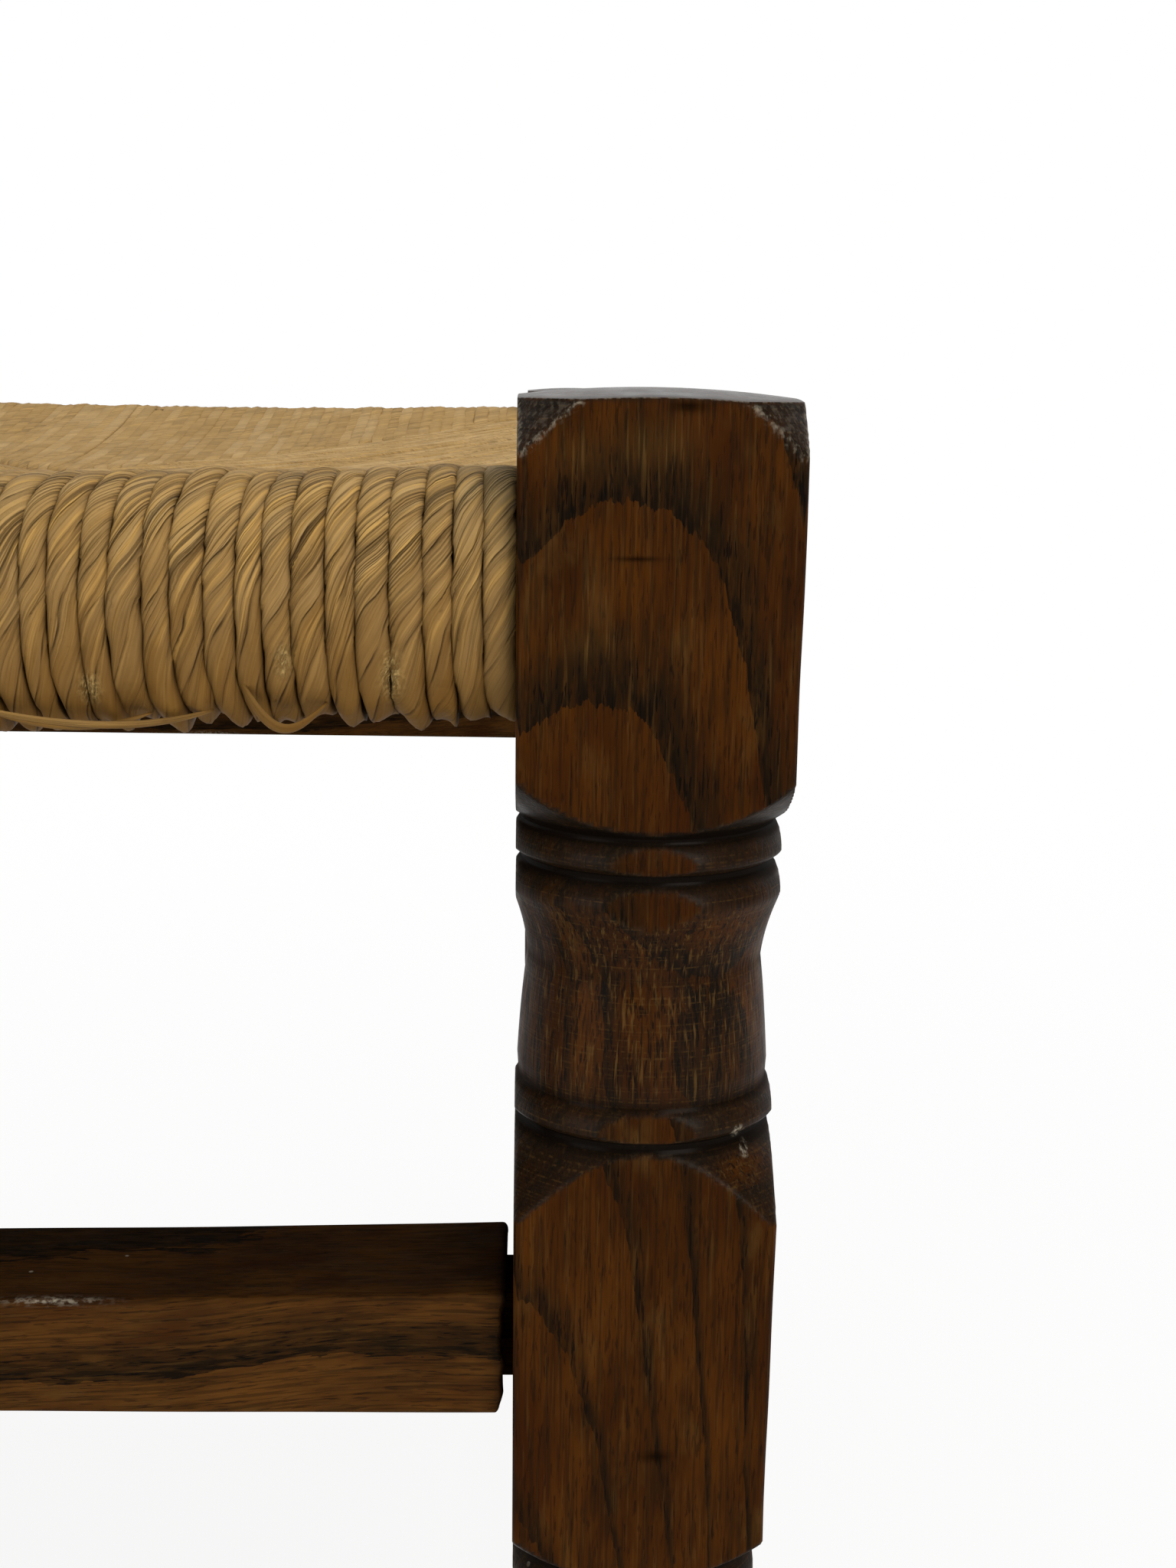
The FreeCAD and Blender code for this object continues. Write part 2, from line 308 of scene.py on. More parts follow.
def wood_values(grain: np.ndarray, stock: np.ndarray, looks: np.ndarray) -> dict[str, np.ndarray]:
    """Name what the wood's finish reads at the points of one tube."""
    values = {label: looks[None, ..., i] for i, label in enumerate(WOOD_LOOKS)}
    return {"grain": grain[None], "stock": stock[None]} | values


@dataclass(frozen=True)
class Tubes:
    """Closed tubes of one make, each a row of rings with a pole at both ends.

    The sections are tubes by rings by points round a ring by three coordinates. The values
    are numbers or vectors of three at those points. The leaf map is pairs, with one more
    point round each ring so that the seam has its own pair.
    """

    sections: np.ndarray
    values: Mapping[str, np.ndarray]
    leaf_map: Optional[np.ndarray] = None

    def with_poles(self, values: np.ndarray) -> np.ndarray:
        """Put each tube's two pole means after the values of its rings.

        Args:
            values: Numbers or vectors at the sections' points.

        Returns:
            Rows of them, tube by tube.
        """
        tubes, rings, around = self.sections.shape[:3]
        flat = values.reshape(tubes, rings * around, -1)
        poles = np.stack([values[:, 0].mean(1), values[:, -1].mean(1)], 1).reshape(tubes, 2, -1)
        rows = np.concatenate([flat, poles], 1)
        return rows.reshape(-1, rows.shape[-1])

    def faces(self) -> tuple[np.ndarray, np.ndarray]:
        """Join neighbouring rings by quads, and the end rings to their poles by triangles.

        Returns:
            The quads and the triangles, as rows of point numbers.
        """
        tubes, rings, around = self.sections.shape[:3]
        index = np.arange(rings * around).reshape(rings, around)
        beside = np.roll(index, -1, axis=1)
        start, end = rings * around, rings * around + 1
        quads = np.stack([index[:-1], beside[:-1], beside[1:], index[1:]], -1).reshape(-1, 4)
        start_cap = np.stack([np.full(around, start), beside[0], index[0]], -1)
        end_cap = np.stack([index[-1], beside[-1], np.full(around, end)], -1)
        caps = np.concatenate([start_cap, end_cap])
        base = np.arange(tubes)[:, None, None] * (rings * around + 2)
        return (quads[None] + base).reshape(-1, 4), (caps[None] + base).reshape(-1, 3)

    def corner_pairs(self) -> tuple[np.ndarray, np.ndarray]:
        """Spread the leaf map over the faces.

        Returns:
            Its pairs at every corner of the quads and of the triangles.
        """
        uv = self.leaf_map
        quads = np.stack([uv[:, :-1, :-1], uv[:, :-1, 1:], uv[:, 1:, 1:], uv[:, 1:, :-1]], 3)
        start = np.stack([uv[:, 0, 1:], uv[:, 0, 1:], uv[:, 0, :-1]], 2)
        end = np.stack([uv[:, -1, :-1], uv[:, -1, 1:], uv[:, -1, 1:]], 2)
        return quads.reshape(-1), np.concatenate([start, end], 1).reshape(-1)


def loft(name: str, groups: Sequence[Tubes]) -> bpy.types.Object:
    """Make one mesh of several groups of tubes.

    Args:
        name: Of the object and its mesh.
        groups: Tubes in millimetres, all with the same named values.

    Returns:
        The object, linked to the scene.
    """
    points = [group.with_poles(group.sections) for group in groups]
    first = np.cumsum([0] + [len(rows) for rows in points])
    faces = [group.faces() for group in groups]
    quads, caps = (
        np.concatenate([face[i] + base for face, base in zip(faces, first)]) for i in (0, 1))
    mesh = bpy.data.meshes.new(name)
    mesh.vertices.add(int(first[-1]))
    mesh.vertices.foreach_set("co", np.concatenate(points).ravel() * MM)
    mesh.loops.add(quads.size + caps.size)
    mesh.loops.foreach_set("vertex_index", np.concatenate([quads.ravel(), caps.ravel()]))
    starts = np.concatenate([np.arange(len(quads)) * 4, quads.size + np.arange(len(caps)) * 3])
    mesh.polygons.add(len(starts))
    mesh.polygons.foreach_set("loop_start", starts)
    mesh.polygons.foreach_set("use_smooth", np.ones(len(starts), bool))
    if groups[0].leaf_map is not None:
        pairs = [group.corner_pairs() for group in groups]
        layer = mesh.uv_layers.new(name="leaf")
        layer.data.foreach_set("uv", np.concatenate([pair[i] for i in (0, 1) for pair in pairs]))
    mesh.update(calc_edges=True)
    mesh.validate()
    for label, sample in groups[0].values.items():
        vector = sample.ndim == 4
        made = mesh.attributes.new(label, "FLOAT_VECTOR" if vector else "FLOAT", "POINT")
        rows = [group.with_poles(group.values[label]) for group in groups]
        made.data.foreach_set("vector" if vector else "value", np.concatenate(rows).ravel())
    piece = bpy.data.objects.new(name, mesh)
    bpy.context.scene.collection.objects.link(piece)
    return piece


def fit(piece: bpy.types.Object, finish: "Finish", nodes: Sequence[str]) -> None:
    """Dress a piece, set it on the stool's body and let it stand for the solids it covers.

    Args:
        piece: The object to fit.
        finish: Its material.
        nodes: Names of the solids that it replaces.
    """
    piece.data.materials.append(finish.material())
    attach(piece, BODY)
    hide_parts(*nodes)
    LOG.info("%s: %d faces for %s", piece.name, len(piece.data.polygons), ", ".join(nodes))


@dataclass(frozen=True)
class Pattern:
    """A growth of blobs: their size along three axes in millimetres, and where they start to show."""

    size: Triple
    low: float = 0.0
    high: float = 1.0
    detail: float = 2.0
    roughness: float = 0.6


@dataclass(frozen=True)
class Paint:
    """One layer of colour: how strongly it covers, and the masks that limit it."""

    colour: str
    strength: float
    masks: tuple[Socket, ...]


class Finish:
    """A named material that is made once and then shared."""

    name: str

    def material(self) -> bpy.types.Material:
        """Give the material, building its nodes the first time.

        Returns:
            The material of this finish's name.
        """
        made = bpy.data.materials.get(self.name)
        if made is None:
            made = bpy.data.materials.new(self.name)
            made.use_nodes = True
            made.node_tree.nodes.clear()
            add(made.node_tree, Kind.SURFACE, (self.nodes(made.node_tree),))
        return made

    def nodes(self, tree: Tree) -> Socket:
        """Build the nodes and give the surface socket."""
        raise NotImplementedError

    def grow(self, tree: Tree, place: Socket, patterns: Mapping[str, Pattern]) -> dict[str, Socket]:
        """Grow each pattern over the places, eased from 0 to 1 between its two levels.

        Args:
            tree: The material's nodes.
            place: Points in millimetres on the material's own axes.
            patterns: The patterns by name.

        Returns:
            A mask for each pattern.
        """
        masks = {}
        for label, pattern in patterns.items():
            per_mm = tuple(1.0 / size for size in pattern.size)
            spot = add(tree, Kind.STRETCH, (place, per_mm))
            blobs = add(tree, Kind.NOISE, {"Vector": spot, "Scale": 1.0, "Detail": pattern.detail,
                                           "Roughness": pattern.roughness})
            masks[label] = add(tree, Kind.EASE, (blobs, pattern.low, pattern.high))
        return masks

    def cover(self, tree: Tree, base: str, paints: Sequence[Paint]) -> Socket:
        """Lay paints over a colour in turn, each as strong as its strength times its masks.

        Args:
            tree: The material's nodes.
            base: The colour underneath.
            paints: The layers, lowest first.

        Returns:
            The finished colour.
        """
        body: Any = linear(base)
        for paint in paints:
            share: Any = paint.strength
            for mask in paint.masks:
                share = add(tree, Kind.TIMES, (share, mask))
            layers = {0: share, MIX_UNDER: body, MIX_OVER: linear(paint.colour)}
            body = add(tree, Kind.MIX, layers, MIX_RESULT)
        return body


@dataclass(frozen=True)
class StainedChestnut(Finish):
    """Ring-porous hardwood, turned or planed, stained dark and rubbed with wax.

    The eye sees amber summer wood between dark bands of open pores that end in a sharp line,
    a smoky brown where the lathe cut across the fibres, and pale scuffs on the worn edges,
    some of them painted highlights. Painted shade darkens the stretchers' tops and the far one.
    Fibres and pores are drawn wider than life, so that they show.
    """

    name: str
    light: str = "#482706"
    deep: str = "#311803"
    russet: str = "#331502"
    olive: str = "#5C4320"
    band: str = "#1A1106"
    pore: str = "#0A0603"
    stain: str = "#1B140D"
    # the pale of worn edges, also used for painted highlights on the crown's edges and a stretcher's
    # edge
    worn: str = "#A39A88"
    ring_width: float = 4.47  # growth of one year
    first_ring: float = 60.44  # distance from the heart of the ring line nearest the top
    wander: float = 0.22  # in years, over a hand's breadth and along one pore
    jag: float = 0.08
    thin_from: float = 55.0  # going down, the dark bands thin out between these
    thin_to: float = 150.0
    band_start: Pair = (0.46, 0.80)  # share of the year where a band begins, above and below
    band_strength: Pair = (1.0, 0.60)  # and how dark it is there
    band_full: float = 0.95  # share of the year where a band is darkest
    ring_line: Pair = (0.88, 0.96)  # shares between which its closing line darkens
    lathe_pitch: float = 0.45  # spacing of tool marks on the turned parts
    tool_levels: Pair = (0.52, 0.70)  # of the noise that shows them
    speck_spacing: float = 11.0
    speck_size: Pair = (0.046, 0.030)  # outer and inner radius, as shares of the spacing
    relief_depth: float = 0.22  # what the heights below are shares of
    fibre_rise: float = -0.18
    pore_rise: float = -0.5
    tool_rise: float = 0.55
    wax: float = 0.05  # coat that the turned parts keep
    roughness: Pair = (0.16, 0.34)  # change with the blotches, and the least
    grime_rough: float = 0.9
    polish_patches: Pair = (0.9, 0.45)  # the same for the coat on the polished tops

    def nodes(self, tree: Tree) -> Socket:
        """Lay rings about the heart and straight fibres along the stock, then stain and wear.

        Args:
            tree: The material's nodes.

        Returns:
            The surface socket.
        """
        node = partial(add, tree)
        grain, stock = (
            node(Kind.ATTRIBUTE, out="Vector", attribute_name=label) for label in ("grain", "stock"))
        turned, stain, wear, grime, polish, pale = (
            node(Kind.ATTRIBUTE, out="Fac", attribute_name=label) for label in WOOD_LOOKS)
        grown = self.grow(tree, stock, {
            "wander": Pattern((13.0, 13.0, 34.0)),
            "jag": Pattern((0.8, 0.8, 6.0)),
            "tone": Pattern((6.0, 6.0, 21.0), 0.30, 0.70, 4.0),
            "russet": Pattern((11.0, 11.0, 40.0), 0.50, 0.72, 3.0),
            "olive": Pattern((8.0, 8.0, 17.0), 0.53, 0.75, 4.0),
            "fibre": Pattern((0.5, 0.5, 14.0), 0.47, 0.62, 2.0),
            "gleam": Pattern((0.55, 0.55, 13.0), 0.54, 0.70, 2.0),
            "streak": Pattern((0.85, 0.85, 6.5), 0.42, 0.58, 3.0),
            "pore": Pattern((0.44, 0.44, 4.2), 0.58, 0.65, 2.0),
            "gap": Pattern((0.50, 0.50, 6.0), 0.55, 0.62, 2.0),
            "blotch": Pattern((4.5, 4.5, 7.0), 0.28, 0.70, 4.0),
            "scuff": Pattern((0.8, 0.8, 1.3), 0.44, 0.62, 4.0),
        })
        across = node(Kind.STRETCH, (grain, (1.0, 1.0, 0.0)))
        radius = node(Kind.LENGTH, (across,), "Value")
        # Years are counted inwards, and the two wanders are taken about their mean of one half.
        age: Any = self.first_ring / self.ring_width - (self.wander + self.jag) / 2
        parts = (radius, grown["wander"], grown["jag"])
        for part, years in zip(parts, (-1.0 / self.ring_width, self.wander, self.jag)):
            age = node(Kind.TIMES_PLUS, (part, years, age))
        season = node(Kind.PART, (age,))
        down = node(Kind.SPLIT, (grain,), "Z")
        begin, fade = (
            node(Kind.RAMP, (down, self.thin_from, self.thin_to, *span))
            for span in (self.band_start, self.band_strength))
        late = node(Kind.EASE, (season, begin, self.band_full))
        late = node(Kind.TIMES, (late, fade))
        edge = node(Kind.EASE, (season, *self.ring_line))
        along = node(Kind.SPLIT, (stock,), "Z")
        tool = node(Kind.TIMES, (along, 1.0 / self.lathe_pitch))
        tool = node(Kind.NOISE_LINE, {"W": tool, "Scale": 1.0, "Detail": 3.0})
        scored = node(Kind.RAMP, (tool, *self.tool_levels))
        spot = node(Kind.STRETCH, (stock, (1.0 / self.speck_spacing,) * 3))
        spot = node(Kind.CELLS, {"Vector": spot, "Scale": 1.0}, "Distance")
        speck = node(Kind.RAMP, (spot, *self.speck_size))

        body = self.cover(tree, self.deep, [
            Paint(self.light, 1.0, (grown["tone"],)),
            Paint(self.russet, 0.70, (grown["russet"],)),
            Paint(self.olive, 0.40, (grown["olive"],)),
            Paint(self.band, 0.66, (late,)),
            Paint(self.band, 0.85, (late, grown["streak"])),
            Paint(self.olive, 0.22, (grown["gleam"],)),
            Paint(self.band, 0.48, (grown["fibre"],)),
            Paint(self.pore, 0.60, (edge, fade, grown["streak"])),
            Paint(self.pore, 0.85, (grown["pore"], late)),
            Paint(self.pore, 0.45, (grown["pore"],)),
            Paint(self.olive, 0.25, (pale,)),
            Paint(self.olive, 0.90, (pale, grown["gleam"])),
            Paint(self.olive, 0.62, (turned, grown["gleam"])),
            Paint(self.pore, 0.80, (turned, grown["gap"])),
            Paint(self.stain, 0.80, (stain,)),
            Paint(self.stain, 0.75, (stain, grown["blotch"])),
            Paint(self.olive, 0.34, (turned, scored, grown["scuff"])),
            # dark in hollows, chips and smudges, and as painted shade on the stretchers' tops and the
            # far stretcher
            Paint(self.pore, 0.92, (grime,)),
            # pale worn edges; on the crown's corner arcs and the near stretcher's rub they are also
            # painted highlights
            Paint(self.worn, 0.95, (wear, grown["scuff"])),
            Paint(self.worn, 0.25, (wear, wear, wear)),
            Paint(self.worn, 2.0, (speck, grime)),
        ])

        relief = node(Kind.TIMES, (grown["fibre"], self.fibre_rise))
        relief = node(Kind.TIMES_PLUS, (grown["pore"], self.pore_rise, relief))
        mark = node(Kind.TIMES, (tool, self.tool_rise))
        relief = node(Kind.TIMES_PLUS, (mark, turned, relief))
        matt = node(Kind.TIMES_PLUS, (polish, -1.0, 1.0))
        relief = node(Kind.TIMES, (relief, matt))
        bump = node(Kind.BUMP, {"Strength": 0.55, "Distance": self.relief_depth * MM,
                                "Height": relief}, "Normal")
        rough = node(Kind.TIMES_PLUS, (grown["blotch"], *self.roughness))
        rough = node(Kind.TIMES_PLUS, (grime, self.grime_rough, rough), use_clamp=True)
        patchy = node(Kind.TIMES_PLUS, (grown["blotch"], *self.polish_patches))
        patchy = node(Kind.TIMES, (patchy, polish))
        wax = node(Kind.TIMES_PLUS, (turned, self.wax, patchy))
        return node(Kind.PRINCIPLED, {
            "Base Color": body, "Roughness": rough, "Specular IOR Level": 0.03,
            "Coat Weight": wax, "Coat Roughness": 0.25, "Normal": bump})


@dataclass(frozen=True)
class TwistedRush(Finish):
    """Dried bulrush leaves, twisted by hand into strands while damp.

    The eye sees tan to golden leaves that wind round each strand, with fine wrinkles along the
    leaf, a crease painted dark as shadow where each leaf tucks under the next, and a dull waxy
    sheen. Shade is also painted into the gaps and low on each bank, and light high on each bank.
    """

    name: str
    gold: str = "#CFA45A"
    straw: str = "#BC9C66"
    tan: str = "#8A6734"
    shaded_umber: str = "#674719"
    olive: str = "#655B40"
    crease: str = "#281706"
    knot: str = "#3F2A12"
    torn: str = "#C2A468"
    pale_and_lit_straw: str = "#CCA668"
    pale: str = "#DCBE8C"
    leaf_width: float = 3.6  # across one folded leaf, which is one unit of the leaf map
    strand_apart: float = 97.0  # how far apart in the patterns the strands' own parts lie
    waver: float = 0.45  # of a leaf's edge, as a share of its width
    tuck: Pair = (0.12, 0.0)  # shares of a leaf's width: painted shadow where it goes under the next,
    lip: Pair = (0.96, 1.0)  # painted shade at its own edge,
    swell: Pair = (0.0, 0.42)  # and rising between
    relief_depth: float = 0.6  # what the heights below are shares of
    wrinkle_rise: float = -0.35
    rib_rise: float = -0.40
    leaf_rise: float = 0.9
    torn_rise: float = 0.8
    sharpness: Pair = (1.0, 0.3)  # of the creases: change from leaf to leaf, and the least
    crumpling: Pair = (0.75, 0.25)  # of the wrinkles, in the same way
    dryness: Pair = (0.85, 0.15)  # and with the paling and painted light
    roughness: Pair = (0.20, 0.66)  # change with the mottling, and the least

    def nodes(self, tree: Tree) -> Socket:
        """Lay leaf tones, wrinkles and creases along the leaf map of each strand.

        Args:
            tree: The material's nodes.

        Returns:
            The surface socket.
        """
        node = partial(add, tree)
        tint, grey, fold, bleach_and_light, rag, side, seat_paling_and_light = (
            node(Kind.ATTRIBUTE, out="Fac", attribute_name=label) for label in RUSH_LOOKS)
        leaf = node(Kind.UV, uv_map="leaf")
        winding, length = (node(Kind.SPLIT, (leaf,), axis) for axis in "XY")
        strand = node(Kind.TIMES, (tint, self.strand_apart))
        across = node(Kind.TIMES, (winding, self.leaf_width))
        place = node(Kind.JOIN, (across, length, strand))
        grown = self.grow(tree, place, {
            "wander": Pattern((7.0, 9.0, 1.0), detail=1.0),
            "wrinkle": Pattern((0.36, 24.0, 1.0), 0.50, 0.62, 2.0),
            "rib": Pattern((0.70, 30.0, 1.0), 0.53, 0.66, 2.0),
            "gleam": Pattern((0.75, 17.0, 1.0), 0.50, 0.70, 2.0),
            "patch": Pattern((2.6, 15.0, 1.0), 0.30, 0.70, 3.0),
            "golden": Pattern((3.4, 11.0, 1.0), 0.42, 0.68, 2.0),
            "mottle": Pattern((0.9, 2.2, 1.0), 0.62, 0.80, 4.0),
            "fray": Pattern((0.5, 0.9, 1.0), 0.35, 0.65, 4.0),
            "faded": Pattern((200.0, 55.0, 1.0), 0.46, 0.66, 1.0),
        })
        spot = node(Kind.STRETCH, (node(Kind.PLACE, out="Object"), PER_MM))
        haze = self.grow(tree, spot, {"haze": Pattern((26.0, 38.0, 26.0), 0.36, 0.62, 4.0)})["haze"]
        line = node(Kind.TIMES_PLUS, (grown["wander"], self.waver, winding))
        which, share = (node(kind, (line,)) for kind in (Kind.WHOLE, Kind.PART))
        key = node(Kind.JOIN, (which, strand, 0.5))
        lot = node(Kind.CHANCE, (key,), "Color")
        own, depth, crumple = (node(Kind.SPLIT, (lot,), axis) for axis in "XYZ")
        # painted shadow: dark where a leaf tucks under the next, and at its own edge
        tucked, lip, rising = (
            node(Kind.EASE, (share, *span)) for span in (self.tuck, self.lip, self.swell))
        sharp = node(Kind.TIMES_PLUS, (depth, *self.sharpness), use_clamp=True)
        sharp = node(Kind.TIMES, (sharp, fold))
        crease = node(Kind.GREATER, (tucked, lip))
        crease = node(Kind.TIMES, (crease, sharp))
        rumple = node(Kind.TIMES_PLUS, (crumple, *self.crumpling))
        dried = node(Kind.TIMES_PLUS, (bleach_and_light, *self.dryness))
        rumple = node(Kind.TIMES, (rumple, dried))
        shade = node(Kind.TIMES_PLUS, (bleach_and_light, -1.0, 1.0))
        ragged = node(Kind.TIMES, (rag, grown["fray"]))

        body = self.cover(tree, self.tan, [
            Paint(self.straw, 1.0, (grown["patch"],)),
            Paint(self.gold, 0.85, (grown["golden"], own)),
            Paint(self.tan, 0.60, (depth,)),
            Paint(self.straw, 0.45, (tint, tint)),
            # painted shade: darker towards the bottom of each bank
            Paint(self.shaded_umber, 0.90, (shade,)),
            # painted light, with some paling: lighter towards the top
            Paint(self.straw, 0.25, (bleach_and_light, bleach_and_light)),
            # painted highlights: golden streaks high on each bank
            Paint(self.gold, 0.88, (grown["gleam"], bleach_and_light)),
            Paint(self.crease, 0.78, (grown["wrinkle"], rumple)),
            Paint(self.crease, 0.70, (grown["rib"], rumple)),
            Paint(self.knot, 0.55, (grown["mottle"],)),
            Paint(self.olive, 0.75, (grey,)),
            # the seat's top paler: partly paling, partly painted light, most on the right bank
            Paint(self.pale_and_lit_straw, 0.32, (seat_paling_and_light,)),
            Paint(self.pale_and_lit_straw, 0.28, (seat_paling_and_light, haze)),
            Paint(self.pale, 0.34, (seat_paling_and_light, grown["faded"])),
            # painted shadow in the creases
            Paint(self.crease, 0.96, (crease,)),
            # painted shade in the gaps between the strands, at their sides
            Paint(self.crease, 0.80, (side,)),
            Paint(self.torn, 0.90, (ragged,)),
        ])

        relief = node(Kind.TIMES, (grown["wrinkle"], self.wrinkle_rise))
        relief = node(Kind.TIMES_PLUS, (grown["rib"], self.rib_rise, relief))
        relief = node(Kind.TIMES, (relief, rumple))
        step = node(Kind.TIMES, (rising, sharp))
        for part, rise in ((step, self.leaf_rise), (ragged, self.torn_rise)):
            relief = node(Kind.TIMES_PLUS, (part, rise, relief))
        bump = node(Kind.BUMP, {"Strength": 0.95, "Distance": self.relief_depth * MM,
                                "Height": relief}, "Normal")
        rough = node(Kind.TIMES_PLUS, (grown["mottle"], *self.roughness))
        return node(Kind.PRINCIPLED, {
            "Base Color": body, "Roughness": rough, "Specular IOR Level": 0.10, "Normal": bump})


@dataclass(frozen=True)
class PackedRush(Finish):
    """Broken rush ends packed between the two layers of the seat: dull brown and fibrous."""

    name: str
    pale: str = "#9A7844"
    dark: str = "#5C4220"
    fibre_width: float = 1.2
    fibre_length: float = 30.0
    relief_depth: float = 0.8

    def nodes(self, tree: Tree) -> Socket:
        """Lay long fibres over the packing on the object's own axes.

        Args:
            tree: The material's nodes.

        Returns:
            The surface socket.
        """
        node = partial(add, tree)
        place = node(Kind.STRETCH, (node(Kind.PLACE, out="Object"), PER_MM))
        size = (self.fibre_length, self.fibre_width, self.fibre_width)
        fibre = self.grow(tree, place, {"fibre": Pattern(size, 0.2, 0.8, 4.0)})["fibre"]
        body = self.cover(tree, self.dark, [Paint(self.pale, 1.0, (fibre,))])
        bump = node(Kind.BUMP, {"Strength": 0.8, "Distance": self.relief_depth * MM,
                                "Height": fibre}, "Normal")
        return node(Kind.PRINCIPLED, {"Base Color": body, "Roughness": 0.8, "Normal": bump})


@dataclass(frozen=True)
class StudioPaper(Finish):
    """Matt white paper: it takes the object's shadow and is white to the camera further off."""

    name: str
    pale: str = "#F4F2EF"
    shadow_share: float = 0.10  # how much of what the camera sees under the stool is lit paper
    shadow_reach: float = 900.0  # distance from the stool's middle where that has mostly faded

    def nodes(self, tree: Tree) -> Socket:
        """Mix a matt paper with plain white for what the camera, gloss and glass see.

        The paper's share is the shadow share times exp(-(distance / reach) squared).

        Args:
            tree: The material's nodes.

        Returns:
            The surface socket.
        """
        node = partial(add, tree)
        seen: Any = 0.0
        for ray in ("Is Camera Ray", "Is Glossy Ray", "Is Transmission Ray"):
            seen = node(Kind.GREATER, (seen, node(Kind.PATH, out=ray)))
        apart = node(Kind.LENGTH, (node(Kind.PLACE, out="Object"),), "Value")
        apart = node(Kind.TIMES, (apart, 1.0 / (self.shadow_reach * MM)))
        square = node(Kind.POWER, (apart, 2.0))
        fade = node(Kind.POWER, (1.0 / math.e, square))
        white = node(Kind.TIMES_PLUS, (fade, -self.shadow_share, 1.0))
        share = node(Kind.TIMES, (seen, white))
        paper = node(Kind.DIFFUSE, (linear(self.pale),))
        glow = node(Kind.GLOW, (linear(WHITE), 1.0))
        return node(Kind.BLEND, (share, paper, glow))


@dataclass(frozen=True)
class StoolFrame:
    """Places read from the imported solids, in millimetres."""

    leg_x: float
    leg_y: float
    leg_height: float
    leg_width: float
    crest: float
    rush_bottom: float
    rush_front: float

    @classmethod
    def read(cls) -> "StoolFrame":
        """Take the leg's and the front bank's boxes from the frame.

        Returns:
            The places.
        """
        low, high = box_of("leg_front_right")
        rush_low, rush_high = box_of("rush_front")
        middle = (low + high) / 2
        return cls(
            leg_x=float(middle[0]),
            leg_y=float(-middle[1]),
            leg_height=float(high[2]),
            leg_width=float(high[0] - low[0]),
            crest=float(rush_high[2]),
            rush_bottom=float(rush_low[2]),
            rush_front=float(middle[1] - rush_low[1]),
        )


@dataclass(frozen=True)
class HeartLine:
    """Where the tree's heart runs beside one leg, which sets the arches of its grain.

    Going down the leg by d, the heart moves sideways by drift (1 - exp(-d / drift length)) and
    its depth behind the face is near + far exp(-d / depth length).
    """

    quarter_turns: int = 0
    side: float = -1.5
    drift: float = -31.5
    near: float = 3.0
    far: float = 55.7
    drift_length: float = 154.0
    depth_length: float = 300.0

    def axes(self, points: np.ndarray, down: np.ndarray, half: float) -> np.ndarray:
        """Give each point's place about the heart.

        Args:
            points: Points about the leg's axis.
            down: Distance below the top.
            half: Half the leg's width, which is where the face lies.

        Returns:
            Vectors of two places across the grain and one along it.
        """
        turn = self.quarter_turns * math.pi / 2
        u, v = points[..., 0], points[..., 1]
        across = u * math.cos(turn) + v * math.sin(turn)
        depth = v * math.cos(turn) - u * math.sin(turn) + half
        heart_side = self.side + self.drift * (1.0 - np.exp(-down / self.drift_length))
        heart_depth = self.near + self.far * np.exp(-down / self.depth_length)
        return np.stack([across - heart_side, depth - heart_depth, down], -1)


@dataclass(frozen=True)
class Cut:
    """One step of the turning: its drop, the radius reached, its bulge and how dark the stain took."""

    drop: float
    radius: float
    bulge: float
    stain: float


@dataclass(frozen=True)
class Mark:
    """A spot on a leg's front: its place across and down, its half sizes and what it is."""

    across: float
    down: float
    wide: float
    tall: float
    kind: MarkKind
    strength: float = 1.0


